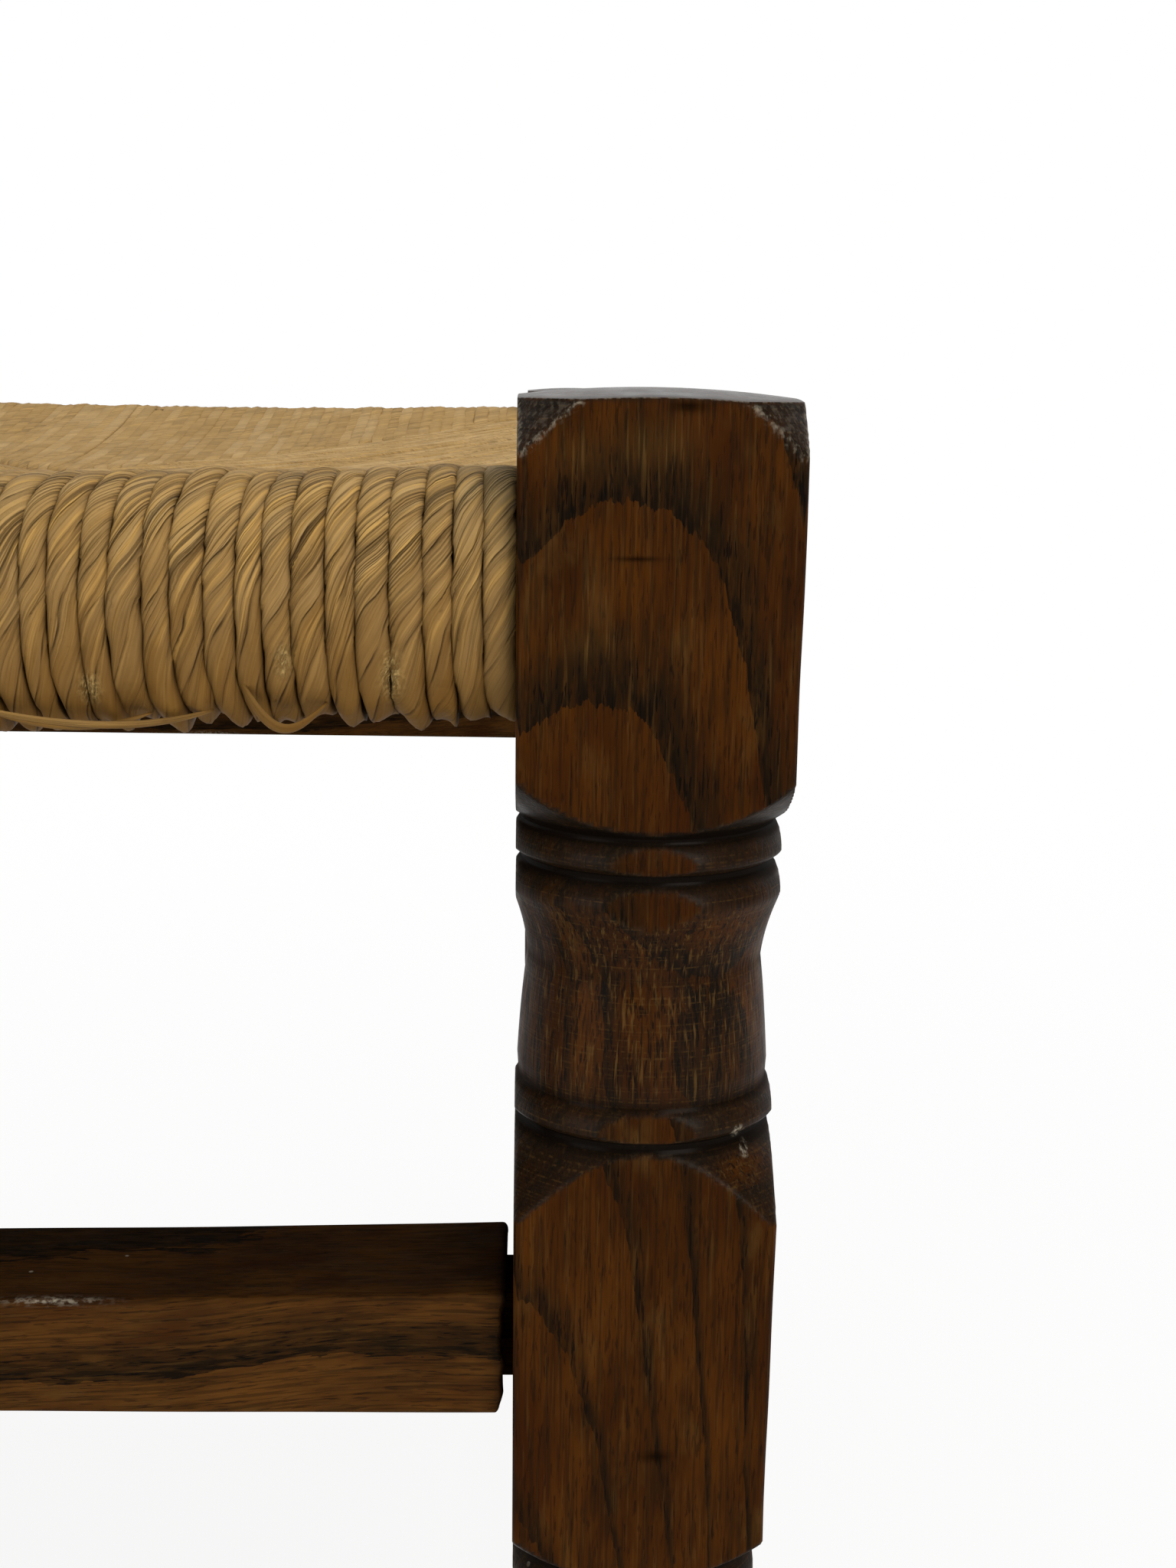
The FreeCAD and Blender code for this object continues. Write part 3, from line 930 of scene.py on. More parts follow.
@dataclass
class TurnedLeg:
    """A leg of square stock, turned between its blocks, with softened arrises and a domed end."""

    node: str
    centre: tuple[float, float]
    height: float
    top_width: float
    heart: HeartLine
    detail: Detail
    crown_wear: float = 0.0  # loss of height at the top
    marks: tuple[Mark, ...] = ()
    foot_width: float = 35.5
    top_block: float = 61.5
    middle_block: float = 70.0
    lower_block: float = 88.0
    corner_clear: float = 0.6
    dome_rise: float = 1.7
    end_radius: float = 23.4
    end_cone: float = 9.3
    shoulder: float = 9.6
    shoulder_bulge: float = 1.2
    cone: float = 14.4
    groove: float = 1.0
    groove_radius: float = 19.3
    bead_radius: float = 21.1
    bead_rise: float = 4.0
    bead_rise_bulge: float = 0.4
    bead_fall: float = 1.4
    bead_fall_bulge: float = 0.3
    collar: float = 4.0
    collar_radius: float = 21.2
    collar_bulge: float = 0.5
    upper_cove: float = 11.0
    upper_cove_hollow: float = 0.5
    waist_radius: float = 18.0
    swell: float = 16.4
    swell_radius: float = 19.5
    swell_bulge: float = 0.15
    swell_lip: float = 3.0
    lower_cove: float = 22.0
    lower_cove_hollow: float = 1.2
    neck_radius: float = 16.8
    belly: float = 62.0
    belly_bulge: float = 3.2
    flare: float = 12.0
    flare_hollow: float = 0.8
    foot_radius: float = 13.0
    foot_bulge: float = 2.6
    arris: float = 0.9  # how far the long corners are worn round
    rim: float = 0.2  # how far the top's edge is worn round
    foot_rim: float = 1.2
    edge_blend: float = 0.14  # how soft the line is where turning meets flat
    flat_stain: float = 0.6  # on the blocks, where the lathe only touched the corners
    close_zone: float = 0.6  # share of the height above which a close leg has close rows
    top_zone: float = 0.9  # and above which they are closest
    top_rows: float = 0.55
    stain_blur: tuple[float, int] = (1.6, 7)  # reach and samples of the means along the leg
    level_blur: tuple[float, int] = (2.5, 9)
    hollow_depth: float = 0.7  # below the level, where the hollows are darkest
    dents: tuple[Pair, ...] = ((9.0, 3.0), (23.0, 1.0), (5.0, 4.0))  # length and lobes of each
    arris_dent: float = 0.22  # how uneven they leave the corners, as a share
    lathe_dent: float = 0.04  # and the turning
    turned_edge: Pair = (-0.02, 0.12)  # depth of the cut between which it counts as turned
    edge_wear: float = 0.02  # along the edges of the flats, in a strip of this half width
    edge_strip: float = 0.35
    crown_edge_wear_and_highlight: float = 0.93  # more of it, partly a painted highlight, about this far down and over this stretch
    crown_edge: Pair = (5.0, 6.0)
    crown_face_wear: float = 0.10  # and on the turned part there
    crown_face: Pair = (4.0, 5.0)
    patch_depth: float = 0.25  # how far the wear falls off in patches
    patch_length: float = 1.7
    patch_lobes: int = 5
    chip_hole: float = 0.5  # share of a chip that is dark
    chip_ring: Pair = (1.0, 0.35)  # where its worn edge lies, and how wide
    rim_wear: float = 0.25
    rim_polish: float = 0.3
    crown_polish: float = 0.45
    rim_clear: float = 0.1  # the side stops this far below the rim
    rim_rings: int = 6
    end_rings: int = 9
    end_hole: float = 0.05  # share of the end that the last ring leaves to its pole

    def cuts(self) -> list[Cut]:
        """List the turning down from the top.

        Returns:
            The cuts, of which the last ends at the foot.
        """
        corner = self.top_width / math.sqrt(2) + self.corner_clear
        neck = float(self.half(np.array(self.height - self.top_block)))
        shoulder = Cut(self.shoulder, neck, self.shoulder_bulge, 1.0)
        groove = Cut(self.groove, self.groove_radius, 0.0, 1.0)
        bead = [Cut(self.bead_rise, self.bead_radius, self.bead_rise_bulge, 0.80),
                Cut(self.bead_fall, self.groove_radius, self.bead_fall_bulge, 0.90), groove]
        collar = Cut(self.collar, self.collar_radius, self.collar_bulge, 0.72)
        cone = Cut(self.cone, corner, 0.0, 0.82)

        def block(length: float) -> list[Cut]:
            """Leave a square block, and cut its lower shoulder and groove."""
            return [Cut(length - self.shoulder, corner, 0.0, self.flat_stain), shoulder, groove]

        cuts = [Cut(self.end_cone, corner, 0.0, 0.85), *block(self.top_block - self.end_cone), *bead,
                collar, Cut(self.upper_cove, self.waist_radius, -self.upper_cove_hollow, 0.12),
                Cut(self.swell, self.swell_radius, self.swell_bulge, 0.0),
                Cut(self.swell_lip, self.groove_radius, 0.0, 0.30), *bead,
                cone, *block(self.middle_block - self.cone), *bead,
                collar, Cut(self.lower_cove, self.neck_radius, -self.lower_cove_hollow, 0.15),
                Cut(self.belly, self.neck_radius, self.belly_bulge, 0.05),
                Cut(self.flare, self.groove_radius, -self.flare_hollow, 0.30), *bead,
                cone, *block(self.lower_block - self.cone), *bead]
        left = self.height - self.dome_rise - sum(cut.drop for cut in cuts)
        return cuts + [Cut(left, self.foot_radius, self.foot_bulge, 0.35)]

    def half(self, z: np.ndarray) -> np.ndarray:
        """Half the width of the stock at a height, which narrows evenly to the foot."""
        return (self.foot_width + (self.top_width - self.foot_width) * z / self.height) / 2

    def profile(self) -> tuple[np.ndarray, np.ndarray, np.ndarray]:
        """Sample the turning from the foot up.

        Plain stretches are cut coarsely and shaped ones finely, finer near the camera.

        Returns:
            Heights, turned radii and how dark the stain is.
        """
        z, radius = self.height - self.dome_rise, self.end_radius
        heights, radii, stains = [np.array([z])], [np.array([radius])], [np.array([1.0])]
        for cut in self.cuts():
            plain = cut.bulge == 0.0 and cut.radius == radius
            close = self.detail is Detail.CLOSE and z > self.close_zone * self.height
            plain_rows, shaped_rows = LEG_ROWS[Detail.CLOSE if close else Detail.FAR]
            spacing = plain_rows if plain else shaped_rows
            if close and z > self.top_zone * self.height:
                spacing = self.top_rows
            count = max(3, math.ceil(cut.drop / spacing))
            share = np.arange(1, count + 1) / count
            bulge = arc_offset(share, cut.drop, cut.bulge)
            heights.append(z - cut.drop * share)
            radii.append(radius + (cut.radius - radius) * share + bulge)
            stains.append(np.full(count, cut.stain))
            z, radius = z - cut.drop, cut.radius
        heights, radii, stains = (np.concatenate(part)[::-1] for part in (heights, radii, stains))
        return heights, radii, blurred(heights, stains, *self.stain_blur)

    def stock_radius(self, angle: np.ndarray, half: np.ndarray, worn: np.ndarray) -> np.ndarray:
        """Distance from the axis to the square stock with round corners.

        On a flat it is the half width over the larger of |cos| and |sin|. At a corner it is
        the far crossing of the ray with a circle of the worn radius set in from both faces.

        Args:
            angle: Round the leg.
            half: Half width of the stock.
            worn: Radius of the corner.

        Returns:
            The distance, in the shape of the arguments.
        """
        c, s = np.abs(np.cos(angle)), np.abs(np.sin(angle))
        inset = half - worn
        flat = half / np.maximum(c, s)
        toward = inset * (c + s)
        round_corner = toward + np.sqrt(np.maximum(toward ** 2 - 2 * inset ** 2 + worn ** 2, 0.0))
        on_corner = flat * np.minimum(c, s) > inset
        return np.where(on_corner, round_corner, flat)

    def build(self, finish: Finish) -> None:
        """Make the leg's mesh and its wood values, and fit it.

        A point at angle a and height z is at the lesser of the turned radius and the stock's
        own distance from the axis, so the flats stay where the lathe did not reach.

        Args:
            finish: Of the wood.
        """
        around = LEG_AROUND[self.detail]
        z, turned, dark = self.profile()
        sunk = blurred(z, turned, *self.level_blur) - turned
        angle = math.tau * (np.arange(around) + 0.5) / around
        a, zz = np.meshgrid(angle, z)
        phase = seeded(self.node).uniform(0, math.tau, 4)
        dent = sum(np.sin(zz / length + lobes * a + start)
                   for (length, lobes), start in zip(self.dents, phase))
        stock = self.stock_radius(a, self.half(zz), self.arris * (1.0 + self.arris_dent * dent))
        lathe = turned[:, None] + self.lathe_dent * dent
        radius = smooth_min(lathe, stock, self.edge_blend)
        is_turned = smoothstep(*self.turned_edge, stock - lathe)
        down = self.height - zz
        patchy = np.sin(zz / self.patch_length + self.patch_lobes * a + phase[3])
        patchy = 1 - self.patch_depth + self.patch_depth * patchy
        # pale along the flats' edges: wear, and near the top also a painted highlight along the corner
        # arcs
        worn = self.edge_wear + self.crown_edge_wear_and_highlight * bell(down, *self.crown_edge)
        wear = bell(stock - lathe, 0.0, self.edge_strip) * worn * patchy
        side = round_axis(radius, a, zz)
        looks = {
            "turned": is_turned,
            "stain": dark[:, None] * is_turned,
            "wear": wear + self.crown_face_wear * is_turned * bell(down, *self.crown_face),
            "grime": np.clip(sunk / self.hollow_depth, 0.0, 1.0)[:, None] * is_turned,
            "pale": np.zeros_like(wear),
        }
        self.mark(side, looks)
        points, values = self.close_ends(side, wood_looks(a.shape, **looks), radius, angle)
        grain = self.heart.axes(points, self.height - points[..., 2], self.top_width / 2)
        wood = wood_values(grain, points + GRAIN_APART * phase[:3], values)
        points = points + np.array([*self.centre, 0.0])
        piece = loft(self.node + "_turning", [Tubes(points[None], wood)])
        fit(piece, finish, [self.node])

    def mark(self, points: np.ndarray, looks: dict[str, np.ndarray]) -> None:
        """Put this leg's own smudges, chips, bare and pale spots on its front.

        A smudge is a dark bell, a chip is a dark spot inside a worn ring, the stain has gone
        from a bare spot, and a pale spot has less of the colour.

        Args:
            points: The side's points about the leg's axis.
            looks: The side's looks by name, which the marks change.
        """
        front = points[..., 1] < 0
        for mark in self.marks:
            across = (points[..., 0] - mark.across) / mark.wide
            apart = np.hypot(across, (self.height - points[..., 2] - mark.down) / mark.tall)
            spot = mark.strength * front * bell(apart, 0.0, 1.0)
            if mark.kind is MarkKind.CHIP:
                ring = mark.strength * front * bell(apart, *self.chip_ring)
                looks["grime"] = np.maximum(looks["grime"], front * bell(apart, 0.0, self.chip_hole))
                looks["wear"] = np.maximum(looks["wear"], ring)
            elif mark.kind is MarkKind.BARE:
                looks["stain"] = looks["stain"] * (1 - spot)
            else:
                look = "grime" if mark.kind is MarkKind.SMUDGE else "pale"
                looks[look] = np.maximum(looks[look], spot)

    def close_ends(
        self, side: np.ndarray, looks: np.ndarray, radius: np.ndarray, angle: np.ndarray
    ) -> tuple[np.ndarray, np.ndarray]:
        """Add the worn rim and dome at the top, and the worn rim and flat at the foot.

        The rim is a quarter round that carries each point in from the side to the end, and
        the end's rings shrink to the middle on a sphere of the dome's rise at the top.

        Args:
            side: The side's points.
            looks: The side's wood values.
            radius: Distance from the axis at each of the side's points.
            angle: Round the leg.

        Returns:
            The points and values from the middle of the foot to the crown.
        """
        sphere = (self.end_radius ** 2 + self.dome_rise ** 2) / (2 * self.dome_rise)
        outer, foot = radius[-1], radius[0]
        quarter = np.linspace(0.0, np.pi / 2, self.rim_rings)[:, None]
        shrink = np.linspace(1.0, self.end_hole, self.end_rings)[1:, None]
        level = np.zeros_like(shrink)
        reach = np.concatenate([outer - self.rim * (1 - np.cos(quarter)), (outer - self.rim) * shrink])
        crown = self.height - self.crown_wear - (sphere - np.sqrt(sphere ** 2 - reach ** 2))
        sunk = np.concatenate([self.rim * (1 - np.sin(quarter)), level])
        top = round_axis(reach, angle, crown - sunk)
        rubbed = np.concatenate([self.rim_wear * np.sin(2 * quarter), level])
        polish = np.concatenate([self.rim_polish * np.sin(quarter), level + self.crown_polish])
        top_looks = wood_looks(reach.shape, stain=0.5, wear=rubbed, polish=polish)
        curl = quarter[::-1]
        foot_reach = np.concatenate([(foot - self.foot_rim) * shrink[::-1],
                                     foot - self.foot_rim * (1 - np.cos(curl))])
        low = round_axis(foot_reach, angle, np.concatenate([level, self.foot_rim * (1 - np.sin(curl))]))
        low_looks = wood_looks(foot_reach.shape, stain=0.8, wear=0.4, grime=0.3)
        z = side[:, 0, 2]
        keep = (z > self.foot_rim) & (z < crown[0].min() - self.rim - self.rim_clear)
        points = np.concatenate([low, side[keep], top])
        return points, np.concatenate([low_looks, looks[keep], top_looks])


@dataclass
class TenonedBar:
    """A rail or stretcher between two legs: soft edges, a top worn by feet, a tenon at each end."""

    node: str
    along_y: bool
    half_length: float  # middle to the shoulder
    wear: float
    edge_radius: float
    tenon: tuple[float, float]
    detail: Detail
    shoulder_round: float = 0.9  # the shoulders' edges are worn this far
    shoulder_rings: int = 6
    erosion: float = 0.7  # uneven loss at the shoulders
    eroded: float = 1.6  # how far from them it reaches
    ring_line: float = 60.44  # distance from the heart of the ring that shows on the outer face
    painted_shade: float = 0.0  # painted shade over the whole bar
    rub_highlight: float = 0.0  # where along the bar its outer upper edge is rubbed pale and carries a painted highlight
    rub_highlight_strength: float = 0.75
    rub_highlight_length: float = 6.0
    tenon_edge: float = 0.6
    tenon_root: float = 1.5  # how far inside the shoulder a tenon starts
    tenon_bevel: float = 0.4  # how far from its end it starts to narrow
    tenon_tip: float = 0.95  # to this share
    unevenness: float = 0.05
    uneven_lengths: Triple = (17.0, 41.0, 7.0)
    ragged_lengths: Pair = (2.1, 0.9)
    wear_lengths: Pair = (29.0, 13.0)
    # the tops are darker: partly their own stain and dirt, partly painted shade from the seat above
    top_grime: float = 0.34
    tenon_grime: float = 0.7
    ragged_mean: float = 1.2
    ragged_share: float = 0.33
    rub_highlight_edge: Pair = (0.3, 0.5)  # how far from the edge the rub and its painted highlight lie, and how wide they are
    corner_wear: float = 0.9  # how far from the corners the scuffs reach
    scuff_levels: Pair = (0.9, 1.9)  # of the waves that place them
    grime_edge: Pair = (-1.4, -0.2)  # from the top, between which its dirt and painted shade begin
    shoulder_stain: float = 0.8  # beside the legs, and how far it reaches
    stain_reach: float = 0.8
    line_height: float = -4.6  # of the ring line on the outer face
    line_wave: Triple = (4.5, 100.0, 45.0)  # its wave's size, place and length
    line_waver: Pair = (0.5, 9.0)

    def build(self, finish: Finish) -> None:
        """Carry the rounded section along the bar, hollow its top and close it over the tenons.

        The top sinks by wear (1 - q squared), where q is the share of the half length, and the
        section draws in by a quarter round at each shoulder before it steps down to the tenon.

        Args:
            finish: Of the wood.
        """
        low, high = box_of(self.node)
        middle, size = (low + high) / 2, high - low
        length, depth = (size[1], size[0]) if self.along_y else (size[0], size[1])
        height = size[2]
        flat, corner, rings = BAR_CUTS[self.detail]
        outline = rounded_rectangle(depth, height, self.edge_radius, flat, corner)
        peg = rounded_rectangle(*self.tenon, self.tenon_edge, flat, corner)
        turn = np.linspace(0.0, np.pi / 2, self.shoulder_rings)
        body = np.linspace(-1.0, 1.0, rings) * (self.half_length - 2 * self.shoulder_round)
        draw = self.shoulder_round * (1 - np.cos(turn))
        step = self.half_length - self.shoulder_round * (1 - np.sin(turn))
        x = np.concatenate([-step[::-1], body, step])[:, None]
        inset = np.concatenate([draw[::-1], np.zeros_like(body), draw])
        phase = seeded(self.node).uniform(0, math.tau, 6)
        planed = outline[None] * (1 - 2 * inset[:, None, None] / np.array([depth, height]))
        uneven = self.unevenness * waves(x, self.uneven_lengths, phase)
        sunk = self.wear * (1 - (x / self.half_length) ** 2) + uneven
        upper = smoothstep(0.0, 1.0, planed[..., 1] / height + 0.5)
        rows = np.stack([planed[..., 0] + uneven * np.sign(planed[..., 0]),
                         planed[..., 1] - upper * sunk], -1)
        ragged = waves(outline[:, 1], self.ragged_lengths, phase[3:]) + self.ragged_mean
        loss = self.erosion * self.ragged_share * bell(np.abs(x), self.half_length, self.eroded)
        loss = loss * ragged
        xs = x - np.sign(x) * loss
        end = length / 2
        peg_x = np.array([self.half_length - self.tenon_root, end - self.tenon_bevel, end])
        peg_x = np.broadcast_to(peg_x[:, None], (3, len(peg)))
        peg_rows = peg[None] * np.array([1.0, 1.0, self.tenon_tip])[:, None, None]
        rows, planed = (np.concatenate([peg_rows[::-1], part, peg_rows]) for part in (rows, planed))
        xs = np.concatenate([-peg_x[::-1], xs, peg_x])
        local = np.stack([xs, rows[..., 0], rows[..., 1]], -1)

        from_corner = np.abs(np.abs(planed) - np.array([depth, height]) / 2).max(-1)
        from_top = planed[..., 1] - height / 2
        from_edge = np.hypot(planed[..., 0] + depth / 2, from_top)
        # a pale rub on the outer upper edge, partly wear and partly a painted highlight
        rubbed = self.rub_highlight_strength * (self.rub_highlight > 0) * bell(from_edge, *self.rub_highlight_edge)
        rubbed = rubbed * bell(xs, self.rub_highlight, self.rub_highlight_length)
        scuffed = smoothstep(*self.scuff_levels, waves(xs, self.wear_lengths, phase[3:]))
        on_tenon = (np.abs(xs) > self.half_length).astype(float)
        # the top darkens with dirt and painted shade, the tenons with the joint's own dark
        on_top = smoothstep(*self.grime_edge, from_top)
        grime = np.maximum(self.tenon_grime * on_tenon, self.top_grime * on_top)
        by_leg = self.shoulder_stain * bell(np.abs(xs), self.half_length, self.stain_reach)
        # painted shade over the whole bar joins the dark of its top and tenons
        looks = wood_looks(
            xs.shape,
            stain=np.maximum(on_tenon, by_leg),
            wear=bell(from_corner, 0.0, self.corner_wear) * scuffed + rubbed,
            grime=np.maximum(grime, self.painted_shade))
        # One ring line waves along the outer face.
        tall, start, run = self.line_wave
        small, short = self.line_waver
        line = self.line_height + tall * np.sin((xs - start) / run)
        line = line + small * np.sin(xs / short + phase[2])
        heart = self.ring_line + local[..., 2] - line
        along = local[..., 0] + GRAIN_APART * phase[5]
        grain = np.stack([local[..., 1] + depth / 2, heart, along], -1)
        turned = np.stack([-local[..., 1], local[..., 0], local[..., 2]], -1)
        points = (turned if self.along_y else local) + middle
        piece = loft(self.node + "_bar", [Tubes(points[None], wood_values(grain, grain, looks))])
        fit(piece, finish, [self.node])


@dataclass(frozen=True)
class Wrap:
    """How many points a strand has round it and along each stretch, and how far its leaves swell."""

    around: int
    under: int
    low_bend: int
    face: int
    top_bend: int
    flat: int
    slope: int
    swell: float


WRAPS = {
    Detail.CLOSE: Wrap(24, 5, 12, 44, 22, 8, 9, 0.15),
    Detail.FAR: Wrap(8, 4, 5, 6, 7, 2, 8, 0.0),
}


@dataclass(frozen=True)
class LooseLeaf:
    """A leaf that has worked loose: a few points that it passes, its width, and its tone."""

    route: tuple[Triple, ...]
    width: float
    tone: float


@dataclass(frozen=True)
class Tear:
    """A frayed spot on the strands' faces: its place along the rail and up, and its half sizes."""

    along: float
    up: float
    wide: float
    tall: float


@dataclass(frozen=True)
class Handwork:
    """How the maker's hand varies the strands, and how the rail and sitters have shaped them.

    A sway is how far something wanders along a strand, and over what wavelength.
    """

    side_sway: Pair = (0.14, 40.0)
    rise_sway: Pair = (0.24, 55.0)
    width_sway: Pair = (0.05, 17.0)  # this and the next as shares
    thick_sway: Pair = (0.08, 19.0)
    wind_sway: Pair = (0.35, 45.0)  # in radians
    fold_sway: Pair = (0.5, 15.0)
    fold: float = 0.72  # depth of the creases, kept between two limits
    fold_limits: Pair = (0.15, 1.0)
    twist_from: Pair = (0.30, 1.0)  # shares of the height between which the twist tightens
    twist_range: Pair = (0.72, 1.28)  # of the strands' own twists
    by_angle: float = 0.3  # creases are counted partly by angle, the rest by width
    spread: float = 1.07  # width as a share of a strand's room
    seat_spread: float = 0.35  # and more where sitters have pressed it
    seat_press: float = 0.45  # share of the thickness lost there
    seat_crease: float = 0.55  # share of the creases' depth lost there
    seat_from: Pair = (-8.0, 6.0)  # inwards of the rail, where the seat begins
    side_power: float = 0.88  # powers that square the section, across and outwards
    face_power: float = 0.85
    tip_square: float = 0.20  # how much more at the lower ends
    tip_power: float = 7.0  # how closely the lower ends are kept to the bottom
    pinch: Pair = (-0.12, 0.26)  # how much narrower they are
    ruffle: float = 1.3  # how far they slant, and wave
    fringe: float = 0.7
    bow: Triple = (-1.2, 8.4, 0.45)  # least sideways bow on the face, its growth, and its height
    bow_lean: float = 5.3  # the lean for which it is given
    crest_pull: float = 3.96
    tip_pull: float = 0.9
    widths: Pair = (0.86, 1.14)  # as shares of the pitch
    jitter: float = 0.6  # spread of the lower ends' heights
    top_jitter: float = 0.4  # share of it that shows on the crest
    lean_from: Pair = (-5.0, 75.0)  # from a leg, between which strands take up their lean
    pull_short: float = 4.0  # the crest's pull is full this far before its flat ends
    tip_from: Pair = (6.0, -6.0)  # inwards of the rail, where the lower ends begin
    bow_from: Pair = (14.0, -4.0)  # and where the bow begins below
    tip_lean: float = 1.3
    leg_shade: float = 6.0  # reach of the grey beside the legs
    grey_low: float = 0.25  # share of it at the bottom
    grey_from: Pair = (0.55, 1.0)  # shares of the height between which it gathers
    bleach_and_light_from: Pair = (-0.05, 0.95)  # and between which the strands pale and are painted lighter
    seat_grey: float = 0.6  # shares that the seat loses of the grey, of the paling and painted light
    seat_bleach_and_light: float = 0.10
    seat_gap_shade: float = 0.95  # and of the painted shade between the strands
    gap_shade_edge: int = 7  # how closely that painted shade is kept to their sides
    fray: float = 1.4  # strength of the tears


@dataclass
class RushBank:
    """One side of the seat: rush strands wound over and under a rail, and the packing inside.

    In its own axes the rail lies along X at Y = 0, and Y runs inwards to the seat's middle.
    """

    side: str
    angle: float
    origin: tuple[float, float]
    half_inside: float  # bank's middle to a leg's inner face
    reach: float  # rail's middle line to the seat's middle
    leg_half: float
    crest: float
    bottom: float
    front: float
    lean: float  # how far along the rail the strands pull over the crest
    lift: float = 0.0
    paling_and_light: float = 0.8  # how far the top has paled and is painted lighter
    close_from: float = math.inf  # strands past here along the rail are cut finely
    loose: tuple[LooseLeaf, ...] = ()
    torn: tuple[Tear, ...] = ()
    hand: Handwork = Handwork()
    pitch: float = 4.27  # spacing of the strands along the rail
    thickness: float = 3.4  # strands are pulled flat against the rail
    bend_radius: float = 10.6  # outside of the rush round the rail's edges
    crest_flat: float = 8.0
    dish_drop: float = 20.0
    dish_hollow: float = 4.5
    middle_thickness: float = 14.0
    sag: float = 1.6  # crest lower at mid rail
    dive: float = 3.4  # ends turn down into the seams
    tuck: float = 0.5  # and reach this far past them
    dive_low: float = 3.0  # how far from the seams they turn, below and above
    dive_top: float = 2.6
    press: float = 0.6  # the crest's strands lie this far below the solid's crest
    low_sag: float = 0.9  # share of the sag at the bottom
    twist_low: float = 0.24  # radians per millimetre under the rail
    twist_high: float = 0.58  # and over its crest, where the maker twists hardest
    leaves: int = 3  # folds round a strand
    layer_drop: float = 8.0  # the seat's two layers part this far below mid height
    leaf_thickness: float = 0.22  # of a loose leaf, to either side
    leaf_rings: int = 22
    leaf_around: int = 12
    leaf_facing: Triple = (0.0, -0.75, -0.66)
    leaf_tip: float = 0.001  # keeps its ends from closing to nothing
    leaf_show: float = 0.3  # share of the leaf map that it takes to either side
    leaf_bleach_and_light: Pair = (0.05, 0.4)  # how pale and painted light it is at least, and more by its tone
    pack_start: float = 14.0  # packing, from the rail's middle line
    pack_stop: float = 6.0  # and short of the seat's middle
    pack_inset: float = 5.4
    pack_rings: int = 40
    pack_around: int = 64
    pack_side: float = 3.0  # how far it stays from the seams
    pack_least: float = 1.0  # its least half width and height
    pack_fill: float = 0.95  # share of the height that it fills
    pack_corner: float = 0.1  # how far its corners are drawn in, as a share
    pack_lumps: Pair = (0.05, 30.0)

    def strands(self, rng: np.random.Generator) -> tuple[np.ndarray, np.ndarray]:
        """Share the rail's length among strands of slightly different width.

        Args:
            rng: Source of the widths.

        Returns:
            Middles and widths of the strands along the rail.
        """
        count = round(2 * self.half_inside / self.pitch)
        width = rng.uniform(*self.hand.widths, count)
        width *= 2 * self.half_inside / width.sum()
        return np.cumsum(width) - width / 2 - self.half_inside, width

    def dish(self, t: np.ndarray) -> np.ndarray:
        """How far the seat hangs below its crest: a straight slope with a parabolic hollow.

        Args:
            t: Distances inwards from the rail's middle line.

        Returns:
            The drop at each.
        """
        start = self.bend_radius - self.front + self.crest_flat
        share = np.clip((t - start) / (self.reach - start), 0.0, 1.0)
        return self.dish_drop * share + 4 * self.dish_hollow * share * (1 - share)

    def under_rise(self) -> float:
        """How far the under layer rises from the rail to the seat's middle."""
        return self.crest - self.dish_drop - self.middle_thickness - self.bottom

    def leaning(self, x: np.ndarray) -> np.ndarray:
        """How fully a strand leans: not beside the legs, and wholly a hand's breadth from them."""
        left, right = (self.half_inside + sign * x for sign in (1, -1))
        return smoothstep(*self.hand.lean_from, right) * smoothstep(*self.hand.lean_from, left)

    def seam(self, x: np.ndarray) -> np.ndarray:
        """How far in a strand reaches before it meets the next side's strands on the diagonal."""
        inside = self.half_inside - np.abs(x)
        return np.minimum(self.leg_half + inside, self.reach)[:, None] + self.tuck

    def wrap(self, x: np.ndarray, jitter: np.ndarray, cut: Wrap) -> np.ndarray:
        """Middle line of each strand across the rail: in from the seam below, round, and back above.

        Straight runs and quarter circles follow the outside of the bank, half a strand in.

        Args:
            x: Middles of the strands along the rail.
            jitter: Each strand's own change of height at the bottom.
            cut: How many points each stretch has.

        Returns:
            Strands by points by (inwards, up).
        """
        stretches = (cut.under, cut.low_bend, cut.face, cut.top_bend, cut.flat, cut.slope)
        run, low_bend, face, top_bend, flat, slope = (np.arange(n) / n for n in stretches)
        slope = np.append(slope, 1.0)
        inset = self.thickness / 2
        bend = self.bend_radius - inset
        outer = inset - self.front
        t_bend = outer + bend
        dip = self.sag * (1 - (x / self.half_inside) ** 2)
        uneven = self.hand.top_jitter * np.abs(jitter)
        top = (self.crest + self.lift - dip - inset + uneven - self.press)[:, None]
        low = (self.bottom - self.low_sag * dip + jitter + inset)[:, None]
        seam_low = self.seam(x)
        seam_top = self.seam(x + self.lean * self.leaning(x))
        t_run = seam_low + (t_bend - seam_low) * run
        z_run = low + self.under_rise() * (t_run - t_bend) / (self.reach - t_bend)
        z_run = z_run + self.dive * np.exp((t_run - seam_low) / self.dive_low)
        a_low = -np.pi / 2 * (1 + low_bend)
        a_top = np.pi - np.pi / 2 * top_bend
        t_flat = t_bend + self.crest_flat * flat
        t_slope = t_bend + self.crest_flat + (seam_top - t_bend - self.crest_flat) * slope
        z_slope = top - self.dish(t_slope)
        z_slope = z_slope - self.dive * np.exp((t_slope - seam_top) / self.dive_top)
        ones = np.ones_like(top)
        t = [t_run, ones * (t_bend + bend * np.cos(a_low)), ones * outer + 0 * face,
             ones * (t_bend + bend * np.cos(a_top)), ones * t_flat, t_slope]
        z = [z_run, low + bend + bend * np.sin(a_low), low + bend + (top - low - 2 * bend) * face,
             top - bend + bend * np.sin(a_top), top + 0 * t_flat, z_slope]
